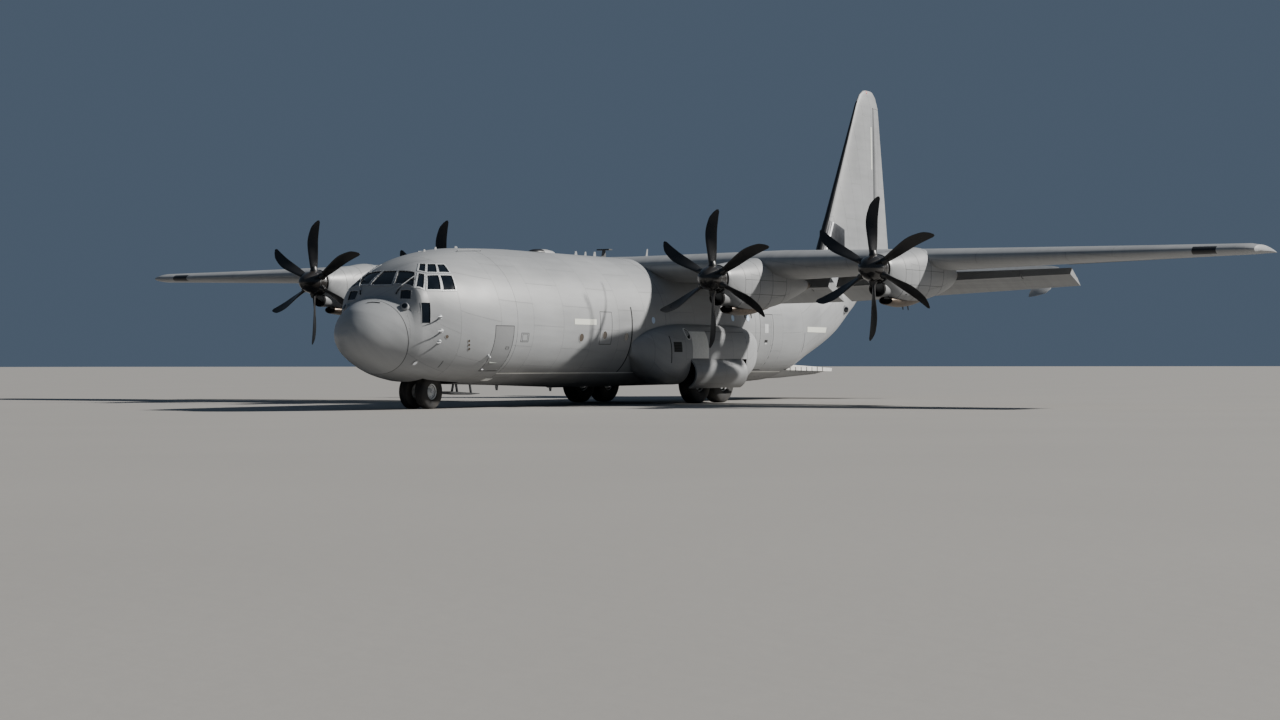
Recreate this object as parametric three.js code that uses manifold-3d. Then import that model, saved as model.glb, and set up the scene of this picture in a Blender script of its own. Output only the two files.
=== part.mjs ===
// Four-engined turboprop transport plane: a half-size model of the real machine.
//
// All sizes below are those of the full-size machine in millimetres, and the root group brings
// them to half size. Stations (y) count aft from a datum just ahead of the nose, heights (z)
// from the ground, and x is positive towards the plane's left wing.

import * as THREE from "three";
import { mergeVertices } from "three/addons/utils/BufferGeometryUtils.js";
import Module from "manifold-3d";

const wasm = await Module();
wasm.setup();

// Driving dimensions

const MODEL_SCALE = 0.5;
const NOSE_TIP = 200;
const LENGTH = 34370;
const HALF_SPAN = 20205;
const SEAT_GAP = 0.6; // between pieces that rest on each other
const PLAY = 12; // round pieces that move past each other
const BIG = 60000;

const SKIN = 100; // fuselage wall
const HULL_STEPS = 28; // points round a fuselage section
const LINING_STEPS = 16; // points round its inner face
const COWL_STEPS = 16; // points round an engine cowl
const RADOME_JOINT = { y: 1450, z: 2100, lean: -0.2 }; // station at a height, and aft per height
const COCKPIT_JOINT = 5300;
const FRONT_SPAR_JOINT = 13400;
const REAR_SPAR_JOINT = 19300;
const TAIL_JOINT = 29500;
const FLOOR_TOP = 1040;
const FLOOR_THICK = 110;

// Colours

const finish = (color, roughness, metalness = 0) =>
  new THREE.MeshStandardMaterial({ color, roughness, metalness });
const greyPaint = finish(0x9aa1a8, 0.55);
const radomePaint = finish(0x9ea4aa, 0.6);
const darkRubber = finish(0x1a1a1c, 0.8);
const bladeBlack = finish(0x17181a, 0.45);
const gearWhite = finish(0xc9ccce, 0.5);
const steel = finish(0x8b8f94, 0.35, 0.8);
const tintedGlass = finish(0x12181c, 0.1);
const cabinGrey = finish(0x565b60, 0.8);
const floorGrey = finish(0x6b6f70, 0.7);
const rampYellow = finish(0xb9b08a, 0.7);

// Solids and meshes

function toSolid(geometry) {
  const bare = geometry.clone();
  bare.deleteAttribute("normal");
  bare.deleteAttribute("uv");
  const merged = mergeVertices(bare, 1e-3);
  const index = merged.index.array;
  const kept = [];
  for (let i = 0; i < index.length; i += 3) {
    const [a, b, c] = [index[i], index[i + 1], index[i + 2]];
    if (a !== b && b !== c && c !== a) kept.push(a, b, c);
  }
  return new wasm.Manifold(new wasm.Mesh({
    numProp: 3,
    vertProperties: new Float32Array(merged.attributes.position.array),
    triVerts: new Uint32Array(kept),
  }));
}

function toGeometry(solid) {
  const pieces = solid.decompose().sort((a, b) => b.volume() - a.volume());
  const mesh = pieces[0].getMesh();
  const geometry = new THREE.BufferGeometry();
  geometry.setAttribute("position", new THREE.BufferAttribute(new Float32Array(mesh.vertProperties), 3));
  geometry.setIndex(new THREE.BufferAttribute(new Uint32Array(mesh.triVerts), 1));
  geometry.computeVertexNormals();
  return geometry;
}

const joinAll = (solids) => solids.reduce((all, next) => all.add(next));
const cutAll = (solid, cutters) => cutters.reduce((left, cutter) => left.subtract(cutter), solid);

// Joins rings of points, each going round the body the same way, into one closed solid. The
// diagonals of its four-sided facets mirror each other about the middle of the plane.
function loft(rings) {
  const steps = rings[0].length;
  const points = rings.flat();
  const faces = [];
  for (let r = 0; r + 1 < rings.length; r++) {
    for (let i = 0; i < steps; i++) {
      const [a, b] = [r * steps + i, r * steps + ((i + 1) % steps)];
      const [c, d] = [b + steps, a + steps];
      const onLeft = points[a][0] + points[b][0] + points[c][0] + points[d][0] >= 0;
      if (onLeft) faces.push(a, b, c, a, c, d);
      else faces.push(a, b, d, b, c, d);
    }
  }
  const ends = [[0, true], [rings.length - 1, false]];
  for (const [r, isFirst] of ends) {
    const ring = rings[r];
    const centre = [0, 1, 2].map((k) => ring.reduce((sum, p) => sum + p[k], 0) / steps);
    points.push(centre);
    const hub = points.length - 1;
    for (let i = 0; i < steps; i++) {
      const [a, b] = [r * steps + i, r * steps + ((i + 1) % steps)];
      faces.push(hub, isFirst ? b : a, isFirst ? a : b);
    }
  }
  const corner = (i) => new THREE.Vector3(...points[i]);
  let volume = 0;
  for (let i = 0; i < faces.length; i += 3) {
    volume += corner(faces[i]).dot(corner(faces[i + 1]).cross(corner(faces[i + 2])));
  }
  if (volume < 0) faces.reverse();
  const geometry = new THREE.BufferGeometry();
  geometry.setAttribute("position", new THREE.Float32BufferAttribute(points.flat(), 3));
  geometry.setIndex(faces);
  return toSolid(geometry);
}

function box(x, y, z) {
  const geometry = new THREE.BoxGeometry(x[1] - x[0], y[1] - y[0], z[1] - z[0]);
  geometry.translate((x[0] + x[1]) / 2, (y[0] + y[1]) / 2, (z[0] + z[1]) / 2);
  return toSolid(geometry);
}

const slab = (y0, y1) => box([-BIG, BIG], [y0, y1], [-BIG, BIG]);

function outlineShape(outline) {
  return new THREE.Shape(outline.map(([a, b]) => new THREE.Vector2(a, b)));
}

function extrudeShape(shape, depth, curveSegments = 12) {
  return new THREE.ExtrudeGeometry(shape, { depth, bevelEnabled: false, curveSegments });
}

const axisMatrix = (x, y, z) =>
  new THREE.Matrix4().makeBasis(new THREE.Vector3(...x), new THREE.Vector3(...y), new THREE.Vector3(...z));
const SIDE_VIEW = axisMatrix([0, 1, 0], [0, 0, 1], [1, 0, 0]);
const FRONT_VIEW = axisMatrix([1, 0, 0], [0, 0, 1], [0, -1, 0]);

// A side-view outline of (y, z) points, made solid between two x values.
function sideCut(outline, x0, x1) {
  const geometry = extrudeShape(outlineShape(outline), x1 - x0);
  return toSolid(geometry.applyMatrix4(SIDE_VIEW).translate(x0, 0, 0));
}

// A plan outline of (x, y) points, made solid between two heights.
function planCut(outline, z0, z1) {
  return toSolid(extrudeShape(outlineShape(outline), z1 - z0).translate(0, 0, z0));
}

// A front-view shape of (x, z) points, made solid between two stations.
function frontCut(shape, y0, y1) {
  return toSolid(extrudeShape(shape, y1 - y0).applyMatrix4(FRONT_VIEW).translate(0, y1, 0));
}

// A round bar, or a cone, from one point to another.
function bar(from, to, radius, radiusTo = radius, steps = 12) {
  const a = new THREE.Vector3(...from);
  const along = new THREE.Vector3(...to).sub(a);
  const geometry = new THREE.CylinderGeometry(radiusTo, radius, along.length(), steps);
  geometry.translate(0, along.length() / 2, 0);
  geometry.applyQuaternion(
    new THREE.Quaternion().setFromUnitVectors(new THREE.Vector3(0, 1, 0), along.clone().normalize()));
  return toSolid(geometry.translate(a.x, a.y, a.z));
}

// A turned piece. The profile is (distance along the axis, radius); the axis is x or y.
function turned(profile, axis, centre, steps) {
  const points = profile.map(([along, radius]) => new THREE.Vector2(radius, along));
  const geometry = new THREE.LatheGeometry(points, steps);
  if (axis === "x") geometry.rotateZ(-Math.PI / 2);
  const solid = toSolid(geometry.translate(...centre));
  return solid.volume() < 0 ? toSolid(turnInsideOut(geometry)) : solid;
}

function turnInsideOut(geometry) {
  const index = Array.from(geometry.index.array).reverse();
  geometry.setIndex(index);
  return geometry;
}

function swing(solid, pivot, axis, degrees) {
  const geometry = toGeometry(solid);
  const [x, y, z] = pivot;
  geometry.translate(-x, -y, -z);
  geometry.applyMatrix4(new THREE.Matrix4().makeRotationAxis(
    new THREE.Vector3(...axis).normalize(), THREE.MathUtils.degToRad(degrees)));
  return toSolid(geometry.translate(x, y, z));
}

// A pin turns in a bore whose flat facets just clear its corners.
const PIN_STEPS = 12;
const boreRadius = (radius) => (radius + SEAT_GAP) / Math.cos(Math.PI / PIN_STEPS);

// Adds a pin through both points to the fixed piece, and its longer bore to the moving one.
function pinned({ fixed, moving }, from, to, radius) {
  const [a, b] = [new THREE.Vector3(...from), new THREE.Vector3(...to)];
  const past = b.clone().sub(a).normalize().multiplyScalar(PLAY);
  const bore = bar(a.sub(past).toArray(), b.add(past).toArray(), boreRadius(radius), boreRadius(radius), PIN_STEPS);
  return { fixed: fixed.add(bar(from, to, radius, radius, PIN_STEPS)), moving: moving.subtract(bore) };
}

// Node tree

const plane = new THREE.Group();
const airframe = new THREE.Group();
airframe.position.y = -(NOSE_TIP + LENGTH / 2) * MODEL_SCALE;
airframe.scale.setScalar(MODEL_SCALE);
plane.add(airframe);

function addPiece(name, solid, material) {
  const mesh = new THREE.Mesh(toGeometry(solid), material);
  mesh.name = name;
  airframe.add(mesh);
  return mesh;
}

// Adds a left-hand piece and its mirror image.
function addPair(name, solid, material) {
  const left = addPiece(`${name}_left`, solid, material);
  const right = new THREE.Mesh(left.geometry, material);
  right.name = `${name}_right`;
  right.scale.x = -1;
  airframe.add(right);
}

// Fuselage
// Each section is widest at mid height and is a superellipse above and below it, a power of 2
// being an ellipse and a higher one squarer.

const HULL = [
  // y, top, bottom, side, mid, upper power, lower power
  [NOSE_TIP, 2060, 1940, 60, 2000, 2, 2],
  [260, 2260, 1760, 250, 2010, 2, 2],
  [400, 2480, 1570, 455, 2025, 2, 2],
  [650, 2720, 1390, 690, 2050, 2, 2],
  [1150, 2940, 1150, 1000, 2080, 2.1, 2],
  [1620, 3080, 990, 1250, 2110, 2.5, 2.05],
  [1840, 3440, 930, 1370, 2150, 4.2, 2.1],
  [2080, 3670, 870, 1460, 2180, 3.3, 2.15],
  [2540, 3990, 790, 1640, 2230, 2.6, 2.2],
  [3020, 4200, 730, 1790, 2290, 2.35, 2.25],
  [3700, 4370, 700, 1950, 2350, 2.15, 2.3],
  [4600, 4500, 680, 2070, 2400, 2.05, 2.4],
  [6000, 4565, 655, 2140, 2430, 2, 2.4],
  [7600, 4600, 620, 2160, 2440, 2, 2.4],
  [11000, 4600, 545, 2160, 2440, 2, 2.4],
  [19300, 4600, 590, 2160, 2440, 2, 2.4],
  [22400, 4610, 660, 2150, 2450, 2, 2.5],
  [24200, 4620, 1250, 2060, 2760, 2, 2.7],
  [26200, 4650, 1960, 1880, 3180, 2, 2.8],
  [28000, 4700, 2880, 1600, 3700, 2, 2.7],
  [29500, 4750, 3480, 1290, 4080, 2, 2.4],
  [31000, 4810, 3940, 990, 4360, 2, 2.2],
  [33000, 4920, 4370, 610, 4640, 2, 2],
  [34400, 5000, 4690, 230, 4840, 2, 2],
  [34570, 4930, 4780, 90, 4855, 2, 2],
];

function hullRing([y, top, bottom, side, mid, upper, lower], inset, steps = HULL_STEPS, xCentre = 0) {
  const ring = [];
  for (let i = 0; i < steps; i++) {
    const angle = (2 * Math.PI * i) / steps;
    const [c, s] = [Math.cos(angle), Math.sin(angle)];
    const [power, height] = s >= 0 ? [upper, top - mid] : [lower, mid - bottom];
    const reach = (Math.abs(c) ** power + Math.abs(s) ** power) ** (-1 / power);
    ring.push([xCentre + (side - inset) * c * reach, y, mid + (height - inset) * s * reach]);
  }
  return ring;
}

const hull = (inset) => loft(HULL.map((section) => hullRing(section, inset)));
const outerHull = hull(0);
const clearOfHull = hull(-SEAT_GAP);
const INNER_FROM = 4; // the inner surface starts behind the radome
const INNER_TO = HULL.length - 4;
const innerLoft = (inset) =>
  loft(HULL.slice(INNER_FROM, INNER_TO).map((section) => hullRing(section, inset, LINING_STEPS)));

// All ahead of the radome's leaning joint, or of a plane that far behind it.
function aheadOfJoint(shift) {
  const jointAt = (z) => RADOME_JOINT.y + (z - RADOME_JOINT.z) * RADOME_JOINT.lean + shift;
  return sideCut([[0, 0], [jointAt(0), 0], [jointAt(4000), 4000], [0, 4000]], -3000, 3000);
}

const innerHull = innerLoft(SKIN)
  .intersect(slab(0, TAIL_JOINT - 120))
  .subtract(aheadOfJoint(120));
const insideSkin = innerLoft(SKIN + SEAT_GAP);

const TAIL_CORE = { from: 19, to: 23, end: 32600 }; // hollow of the tail cone

const between = (solid, y0, y1) =>
  solid.intersect(slab(y0 + SEAT_GAP / 2, y1 - SEAT_GAP / 2));

// Wing
// Each section is a cambered aerofoil. Twist lifts the leading edge by that share of the chord.

const WING = [
  // x, leading edge y, chord, height, thickness share, twist
  [0, 13820, 4880, 4170, 0.18, 0.05],
  [5590, 13820, 4880, 4230, 0.18, 0.05],
  [19900, 14408, 2540, 4367, 0.122, 0],
  [20140, 14540, 2280, 4370, 0.1, 0],
  [HALF_SPAN, 14900, 1500, 4372, 0.05, 0],
];
const WING_BREAK = 5590;
const FOIL_STEPS = 9;
const WING_ROOF_TOP = 4660; // of the wing over the fuselage
const CAMBER = 0.02;
const TWIST_CENTRE = 0.3;

function foilHalf(u, thickness) {
  const roots = 0.2969 * Math.sqrt(u) - 0.126 * u - 0.3516 * u ** 2 + 0.2843 * u ** 3 - 0.1015 * u ** 4;
  return 5 * thickness * roots;
}

// Points round an aerofoil as shares of the chord: over the top to the nose, back underneath.
function foilOutline(thickness, camber, steps = FOIL_STEPS) {
  const points = [];
  for (let i = -steps; i <= steps; i++) {
    const u = (1 - Math.cos((Math.PI * i) / steps)) / 2;
    const middle = 4 * camber * u * (1 - u);
    points.push([u, middle + (i <= 0 ? 1 : -1) * foilHalf(u, thickness)]);
  }
  return points;
}

const mix = (a, b, t) => a + (b - a) * t;

function wingStation(x) {
  const last = WING.findIndex((row) => row[0] >= x);
  if (last <= 0) return [...WING[0]];
  const [a, b] = [WING[last - 1], WING[last]];
  const t = (x - a[0]) / (b[0] - a[0]);
  return a.map((value, k) => mix(value, b[k], t));
}

function wingPoint([x, lead, chord, height, , twist], u, v, grow = 0) {
  const spread = 1 + (2 * grow) / chord;
  const uWide = 0.5 + (u - 0.5) * spread;
  const vWide = v + Math.sign(v) * (grow / chord);
  return [x, lead + uWide * chord, height + (vWide + twist * (TWIST_CENTRE - u)) * chord];
}

function wingBetween(x0, x1, grow = 0) {
  const inside = WING.map((row) => row[0]).filter((x) => x > x0 && x < x1);
  const rings = [x0, ...inside, x1].map((x) => {
    const station = wingStation(x);
    return foilOutline(station[4], CAMBER).map(([u, v]) => wingPoint(station, u, v, grow));
  });
  return loft(rings);
}

// A straight-edged block given by an outline in shares of the local chord.
function wingBlock(x0, x1, outline) {
  return loft([x0, x1].map((x) => {
    const station = wingStation(x);
    const points = typeof outline === "function" ? outline(station) : outline;
    return points.map(([u, v]) => wingPoint(station, u, v));
  }));
}

// Flaps run back on curved tracks, so each swings about a line far below and ahead of its nose.

const FLAP = {
  nose: 0.745,
  cove: 0.732,
  shroudEnd: 0.9,
  shroudThick: 0.016,
  trackRadius: 1500,
  trackLead: 330,
  down: 25,
};
const FLAP_PANELS = [
  // name, inner x, outer x, outer x of the space for it (a tapered flap moves outwards too)
  ["inner_flap", 2350, 5480, 5480 + PLAY],
  ["outer_flap", 5720, 13780, 13862],
];

const foilTop = (u, thickness) => 4 * CAMBER * u * (1 - u) + foilHalf(u, thickness);

function shroudOutline(drop) {
  return ([, , chord, , thickness]) => [
    [0.6, 0.4],
    [0.6, foilTop(FLAP.nose, thickness) - FLAP.shroudThick - drop / chord],
    [FLAP.nose, foilTop(FLAP.nose, thickness) - FLAP.shroudThick - drop / chord],
    [FLAP.shroudEnd, foilTop(FLAP.shroudEnd, thickness) - drop / chord],
    [FLAP.shroudEnd + (drop > 0 ? PLAY / chord : 0), 0.4],
  ];
}

const behind = (u) => [[u, -0.4], [1.2, -0.4], [1.2, 0.4], [u, 0.4]];

function flapAxis([, x0, x1]) {
  const [a, b] = [x0, x1].map((x) => wingPoint(wingStation(x), FLAP.nose, 0));
  const pivot = [a[0], a[1] - FLAP.trackLead, a[2] - FLAP.trackRadius];
  return { pivot, axis: [b[0] - a[0], b[1] - a[1], b[2] - a[2]] };
}

// Each flap runs on two curved tracks that stand square to its axis and fit in slots in it. A
// track's angles count about the axis, from straight up towards the tail.
const TRACK = { thick: 40, inner: 1440, outer: 1520, from: 4, to: 50, steps: 5, share: [0.2, 0.8] };
const FLAP_NOSE_ANGLE = 37;

function trackPlate(panel, share, { from, to, inner, outer, thick }) {
  const { pivot, axis } = flapAxis(panel);
  const length = Math.hypot(...axis);
  const along = new THREE.Vector3(...axis).normalize();
  const up = new THREE.Vector3(0, 0, 1).addScaledVector(along, -along.z).normalize();
  const aft = up.clone().cross(along);
  const arc = (radius) => Array.from({ length: TRACK.steps + 1 }, (_, i) => {
    const angle = THREE.MathUtils.degToRad(mix(from, to, i / TRACK.steps));
    return [radius * Math.sin(angle), radius * Math.cos(angle)];
  });
  const outline = [...arc(outer), ...arc(inner).reverse()];
  const geometry = extrudeShape(outlineShape(outline), thick).translate(0, 0, share * length - thick / 2);
  geometry.applyMatrix4(new THREE.Matrix4().makeBasis(aft, up, along).setPosition(...pivot));
  return toSolid(geometry);
}

const flapTracks = (panel) => TRACK.share.map((share) => trackPlate(panel, share, TRACK));

const flapSlots = (panel) => TRACK.share.map((share) => trackPlate(panel, share, {
  from: FLAP_NOSE_ANGLE - 5,
  to: TRACK.to + FLAP.down + 2,
  inner: TRACK.inner - PLAY,
  outer: TRACK.outer + PLAY,
  thick: TRACK.thick + 2 * SEAT_GAP,
}));

function flapSolid(panel) {
  const [, x0, x1] = panel;
  const retracted = wingBetween(x0, x1)
    .intersect(wingBlock(x0, x1, behind(FLAP.nose)))
    .subtract(wingBlock(x0 - 50, x1 + 50, shroudOutline(PLAY)));
  const { pivot, axis } = flapAxis(panel);
  return cutAll(swing(retracted, pivot, axis, -FLAP.down), flapSlots(panel));
}

function flapCut([, x0, , to]) {
  const from = x0 - PLAY;
  return wingBlock(from, to, behind(FLAP.cove))
    .subtract(wingBlock(from - 10, to + 10, shroudOutline(0)));
}

// A control surface swings about a straight hinge, with a round nose on the hinge line. The
// nose is a little thinner than the surface, whose corners need the wider space ahead of it.
const NOSE_SHARE = 0.92;
const NOSE_STEPS = 18;
const PAST_HINGE = 9; // the surface joins its round nose this far behind the hinge line
const HINGE_PIN = { reach: 110, root: 40, radius: 30 };

// The hollow ahead of a tail surface's hinge: a ring of points a wall's thickness inside it.
const CORE_SHARES = [0.08, 0.2, 0.35, 0.5];

function coreRing([, lead, chord, thickness], wall, toPoint) {
  const upper = CORE_SHARES.map((u) => [lead + u * chord, foilHalf(u, thickness) * chord - wall]);
  const lower = upper.map(([y, half]) => [y, -half]).reverse();
  return [...upper, ...lower].map(([y, half]) => toPoint(y, half));
}

function hinged(whole, { from, to, halfThick, extent, aft, lips, ends = [] }) {
  const [a, b] = [new THREE.Vector3(...from), new THREE.Vector3(...to)];
  const direction = b.clone().sub(a).normalize();
  const at = (point, shift) => point.clone().addScaledVector(direction, shift).toArray();
  const hingeBar = (past, radii) => bar(at(a, -past), at(b, past), ...radii, NOSE_STEPS);
  const nose = hingeBar(PLAY, halfThick.map((half) => half * NOSE_SHARE)).intersect(extent);
  const swept = hingeBar(2 * PLAY, halfThick.map((half) => half + PLAY));
  const parts = {
    moving: joinAll([whole.intersect(joinAll([aft, ...ends.map((end) => end.moving)])), nose]),
    fixed: cutAll(whole, [lips, swept, ...ends.map((end) => end.clear)]),
  };
  // Hinge pins stand in the fixed structure at one or both ends.
  const { reach, root, radius } = HINGE_PIN;
  const inner = pinned(parts, at(a, -PLAY - root), at(a, reach), radius);
  return ends.length > 0 ? inner : pinned(inner, at(b, -reach), at(b, PLAY + root), radius);
}

const AILERON = { x0: 13960, x1: 19650, hinge: 0.76, past: 0.004, lip: 0.02 };

function aileronParts(wing) {
  const ends = [AILERON.x0, AILERON.x1].map((x) => wingStation(x));
  const middle = 4 * CAMBER * AILERON.hinge * (1 - AILERON.hinge);
  const [from, to] = ends.map((station) => wingPoint(station, AILERON.hinge, middle));
  return hinged(wing, {
    from,
    to,
    halfThick: ends.map((s) => foilHalf(AILERON.hinge, s[4]) * s[2]),
    extent: box([AILERON.x0, AILERON.x1], [0, BIG], [0, BIG]),
    aft: wingBlock(AILERON.x0, AILERON.x1, behind(AILERON.hinge + AILERON.past)),
    lips: wingBlock(AILERON.x0 - PLAY, AILERON.x1 + PLAY, behind(AILERON.hinge - AILERON.lip)),
  });
}

// Tail

const FIN = [
  // z, leading edge y, chord, thickness share
  [4500, 27680, 6900, 0.125],
  [11200, 31430, 2000, 0.11],
  [11600, 31760, 1430, 0.1],
  [11780, 32080, 850, 0.07],
  [11810, 32280, 480, 0.05],
];
const FIN_CORE = { z: [4510, 10800], wall: 65 };
const RUDDER = { z0: 5150, z1: 11150, hinge: [32690, 32840], lip: 0.35 };

const finRing = ([z, lead, chord, thickness]) =>
  foilOutline(thickness, 0, 7).map(([u, v]) => [v * chord, lead + u * chord, z]);

function rowAt(table, key) {
  const last = table.findIndex((row) => row[0] >= key);
  const [a, b] = [table[last - 1], table[last]];
  const t = (key - a[0]) / (b[0] - a[0]);
  return a.map((value, k) => mix(value, b[k], t));
}

function rudderParts() {
  const core = loft(FIN_CORE.z.map((z) =>
    coreRing(rowAt(FIN, z), FIN_CORE.wall, (y, half) => [half, y, z])));
  const whole = cutAll(loft(FIN.map(finRing)), [clearOfHull, core]);
  const halfThick = [RUDDER.z0, RUDDER.z1].map((z, k) => {
    const [, lead, chord, thickness] = rowAt(FIN, z);
    return foilHalf((RUDDER.hinge[k] - lead) / chord, thickness) * chord;
  });
  const plane = (shift, z0, z1) => sideCut(
    [[RUDDER.hinge[0] + shift[0], z0], [36000, z0], [36000, z1], [RUDDER.hinge[1] + shift[1], z1]], -900, 900);
  return hinged(whole, {
    from: [0, RUDDER.hinge[0], RUDDER.z0],
    to: [0, RUDDER.hinge[1], RUDDER.z1],
    halfThick,
    extent: box([-BIG, BIG], [0, BIG], [RUDDER.z0, RUDDER.z1]),
    aft: plane([PAST_HINGE, PAST_HINGE], RUDDER.z0, RUDDER.z1),
    lips: plane(halfThick.map((half) => -RUDDER.lip * half), RUDDER.z0 - PLAY, RUDDER.z1 + PLAY),
  });
}

const TAILPLANE = [
  // x, leading edge y, chord, height, thickness share
  [300, 28700, 4350, 4420, 0.11],
  [7600, 30400, 2020, 4420, 0.1],
  [7900, 30560, 1760, 4420, 0.09],
  [8020, 30800, 1300, 4420, 0.05],
];
const TAILPLANE_CORE = { x: [310, 6700], wall: 45 };
const ELEVATOR = { x0: 1000, x1: 7350, hingeY: 31660, height: 4420, lip: 0.35, up: 35 };

function elevatorParts() {
  const outside = loft(TAILPLANE.map(([x, lead, chord, height, thickness]) =>
    foilOutline(thickness, 0, 7).map(([u, v]) => [x, lead + u * chord, height + v * chord])));
  const core = loft(TAILPLANE_CORE.x.map((x) => {
    const [, lead, chord, height, thickness] = rowAt(TAILPLANE, x);
    return coreRing([x, lead, chord, thickness], TAILPLANE_CORE.wall, (y, half) => [x, y, height + half]);
  }));
  const whole = cutAll(outside, [clearOfHull, core]);
  const halfThick = [ELEVATOR.x0, ELEVATOR.x1].map((x) => {
    const [, lead, chord, , thickness] = rowAt(TAILPLANE, x);
    return foilHalf((ELEVATOR.hingeY - lead) / chord, thickness) * chord;
  });
  const block = (x0, x1, shift) => planCut(
    [[x0, ELEVATOR.hingeY + shift[0]], [x1, ELEVATOR.hingeY + shift[1]], [x1, 36000], [x0, 36000]],
    3000, 6000);
  const tip = (x0) => box([x0, 9000], [28000, 36000], [3000, 6000]);
  return hinged(whole, {
    from: [ELEVATOR.x0, ELEVATOR.hingeY, ELEVATOR.height],
    to: [ELEVATOR.x1, ELEVATOR.hingeY, ELEVATOR.height],
    halfThick,
    extent: box([ELEVATOR.x0, BIG], [0, BIG], [0, BIG]),
    aft: block(ELEVATOR.x0, ELEVATOR.x1 + 1, [PAST_HINGE, PAST_HINGE]),
    lips: block(ELEVATOR.x0 - PLAY, ELEVATOR.x1, halfThick.map((half) => -ELEVATOR.lip * half)),
    ends: [{ moving: tip(ELEVATOR.x1), clear: tip(ELEVATOR.x1 - PLAY) }],
  });
}

// Blade aerials on the roof and under the belly

const AERIALS = [
  // panel that carries it, station, length, height off the skin (negative below the belly)
  ["forward", 11500, 190, 120],
  ["forward", 12060, 150, 130],
  ["forward", 12580, 190, 150],
  ["forward", 13060, 300, 250],
  ["forward", 7200, 190, -150],
  ["forward", 10050, 190, -130],
  ["wing", 15740, 150, 310],
];
const AERIAL = { thick: 26, root: 20, tip: 0.6, lean: 0.35 };
const TOP_PLATE = { station: 13150, length: 230, half: 260, z: [4836, 4856] }; // of the T-shaped aerial

function aerials(panel) {
  const blades = AERIALS.filter((row) => row[0] === panel).map(([, y, length, height]) => {
    const [, top, bottom] = rowAt(HULL, y);
    const [skin, inside] = height > 0 ? [top, -AERIAL.root] : [bottom, AERIAL.root];
    const base = panel === "wing" ? WING_ROOF_TOP : skin;
    const ring = (rise, chord) => {
      const front = y + Math.abs(rise) * AERIAL.lean;
      return [[0, 0], [AERIAL.thick / 2, 0.4], [0, 1], [-AERIAL.thick / 2, 0.4]]
        .map(([x, share]) => [x, front + share * chord, base + rise]);
    };
    return loft([ring(inside, length), ring(height, length * AERIAL.tip)]);
  });
  const { station, length, half, z } = TOP_PLATE;
  return joinAll(panel === "forward" ? [...blades, box([-half, half], [station, station + length], z)] : blades);
}

// Fuselage openings

// Windshield, side, brow and chin windows and the tall port of the left half, each by its lower
// front, lower rear, upper rear and upper front corner on the skin. Each is cut square to its face.
const PANES = [
  [[441, 1833, 3428], [1051, 1846, 3331], [791, 2267, 3732], [283, 2225, 3781]],
  [[1125, 1884, 3326], [1255, 2031, 3276], [1039, 2367, 3673], [902, 2292, 3705]],
  [[1310, 2129, 3252], [1468, 2536, 3261], [1256, 2704, 3659], [1111, 2399, 3639]],
  [[1499, 2611, 3249], [1619, 3007, 3266], [1409, 3111, 3657], [1283, 2755, 3655]],
  [[832, 2385, 3788], [994, 2458, 3748], [797, 2751, 3976], [674, 2655, 3975]],
  [[1038, 2498, 3740], [1189, 2744, 3740], [970, 2963, 3975], [839, 2781, 3971]],
  [[1216, 2803, 3742], [1333, 3119, 3745], [1086, 3203, 3973], [1003, 2998, 3967]],
  [[768, 1655, 3005], [1066, 1715, 2988], [1024, 1784, 3227], [724, 1744, 3232]],
  [[1361, 1822, 2345], [1457, 2072, 2348], [1427, 2100, 2894], [1331, 1830, 2890]],
];
const CENTRE_PANE = [[-350, 1815, 3395], [350, 1815, 3395], [225, 2225, 3785], [-225, 2225, 3785]];
const GLAZED = { x: [-2000, 2000], y: [1640, 3250], z: [2330, 4060] }; // what the panes' backing spans

const PANE_REACH = { inwards: 700, outwards: 250 };
const PANE_GAP = 0.03; // share of a pane's size that its glass is smaller by

function paneCutter(places, shrink) {
  const corners = places.map((p) => new THREE.Vector3(...p));
  const centre = corners.reduce((sum, p) => sum.add(p), new THREE.Vector3()).divideScalar(4);
  const [along, up] = [corners[1].clone().sub(corners[0]), corners[3].clone().sub(corners[0])];
  const facing = along.cross(up).normalize();
  const ringAt = (out) => corners.map((p) => p.clone().lerp(centre, shrink).addScaledVector(facing, out).toArray());
  return loft([ringAt(-PANE_REACH.inwards), ringAt(PANE_REACH.outwards)]);
}

const mirrored = (solid) => toSolid(turnInsideOut(toGeometry(solid).scale(-1, 1, 1)));

function windowCutters(shrink) {
  const left = joinAll(PANES.map((pane) => paneCutter(pane, shrink)));
  return joinAll([left, mirrored(left), paneCutter(CENTRE_PANE, shrink)]);
}

// Crew door in the left side, hinged along its sill.
const CREW_DOOR = { y0: 4330, y1: 5130, z0: 1060, z1: 2300, reachIn: 900 };
const CREW_HINGE = { x: 1525, z: 1090, barrel: 20, pin: 10, knuckle: 90, lug: 50, arm: 85, half: 13 };
const doorway = ({ y0, y1, z0, z1, reachIn }, play) =>
  box([reachIn, 3000], [y0 - play, y1 + play], [z0 - play, z1 + play]);

function crewHinges() {
  const { x, z, barrel, knuckle, lug, arm, half } = CREW_HINGE;
  const eye = (y0, y1) => joinAll([
    bar([x, y0, z], [x, y1, z], barrel, barrel, PIN_STEPS),
    box([x - arm, x], [y0, y1], [z - half, z + half]),
  ]);
  return [[CREW_DOOR.y0, 1], [CREW_DOOR.y1, -1]].map(([y, side]) => {
    const [near, far] = [y, y + side * knuckle].sort((a, b) => a - b);
    const [start, end] = [y - side * PLAY, y - side * (PLAY + lug)].sort((a, b) => a - b);
    return {
      knuckle: eye(near, far),
      lug: eye(start, end),
      pin: [[x, y - side * (PLAY + 20), z], [x, y + side * 70, z]],
    };
  });
}

// Paratroop doors on both sides.
const TROOP_DOOR = { y0: 19640, y1: 20560, z0: 1060, z1: 2900, reachIn: 1200 };

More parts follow.
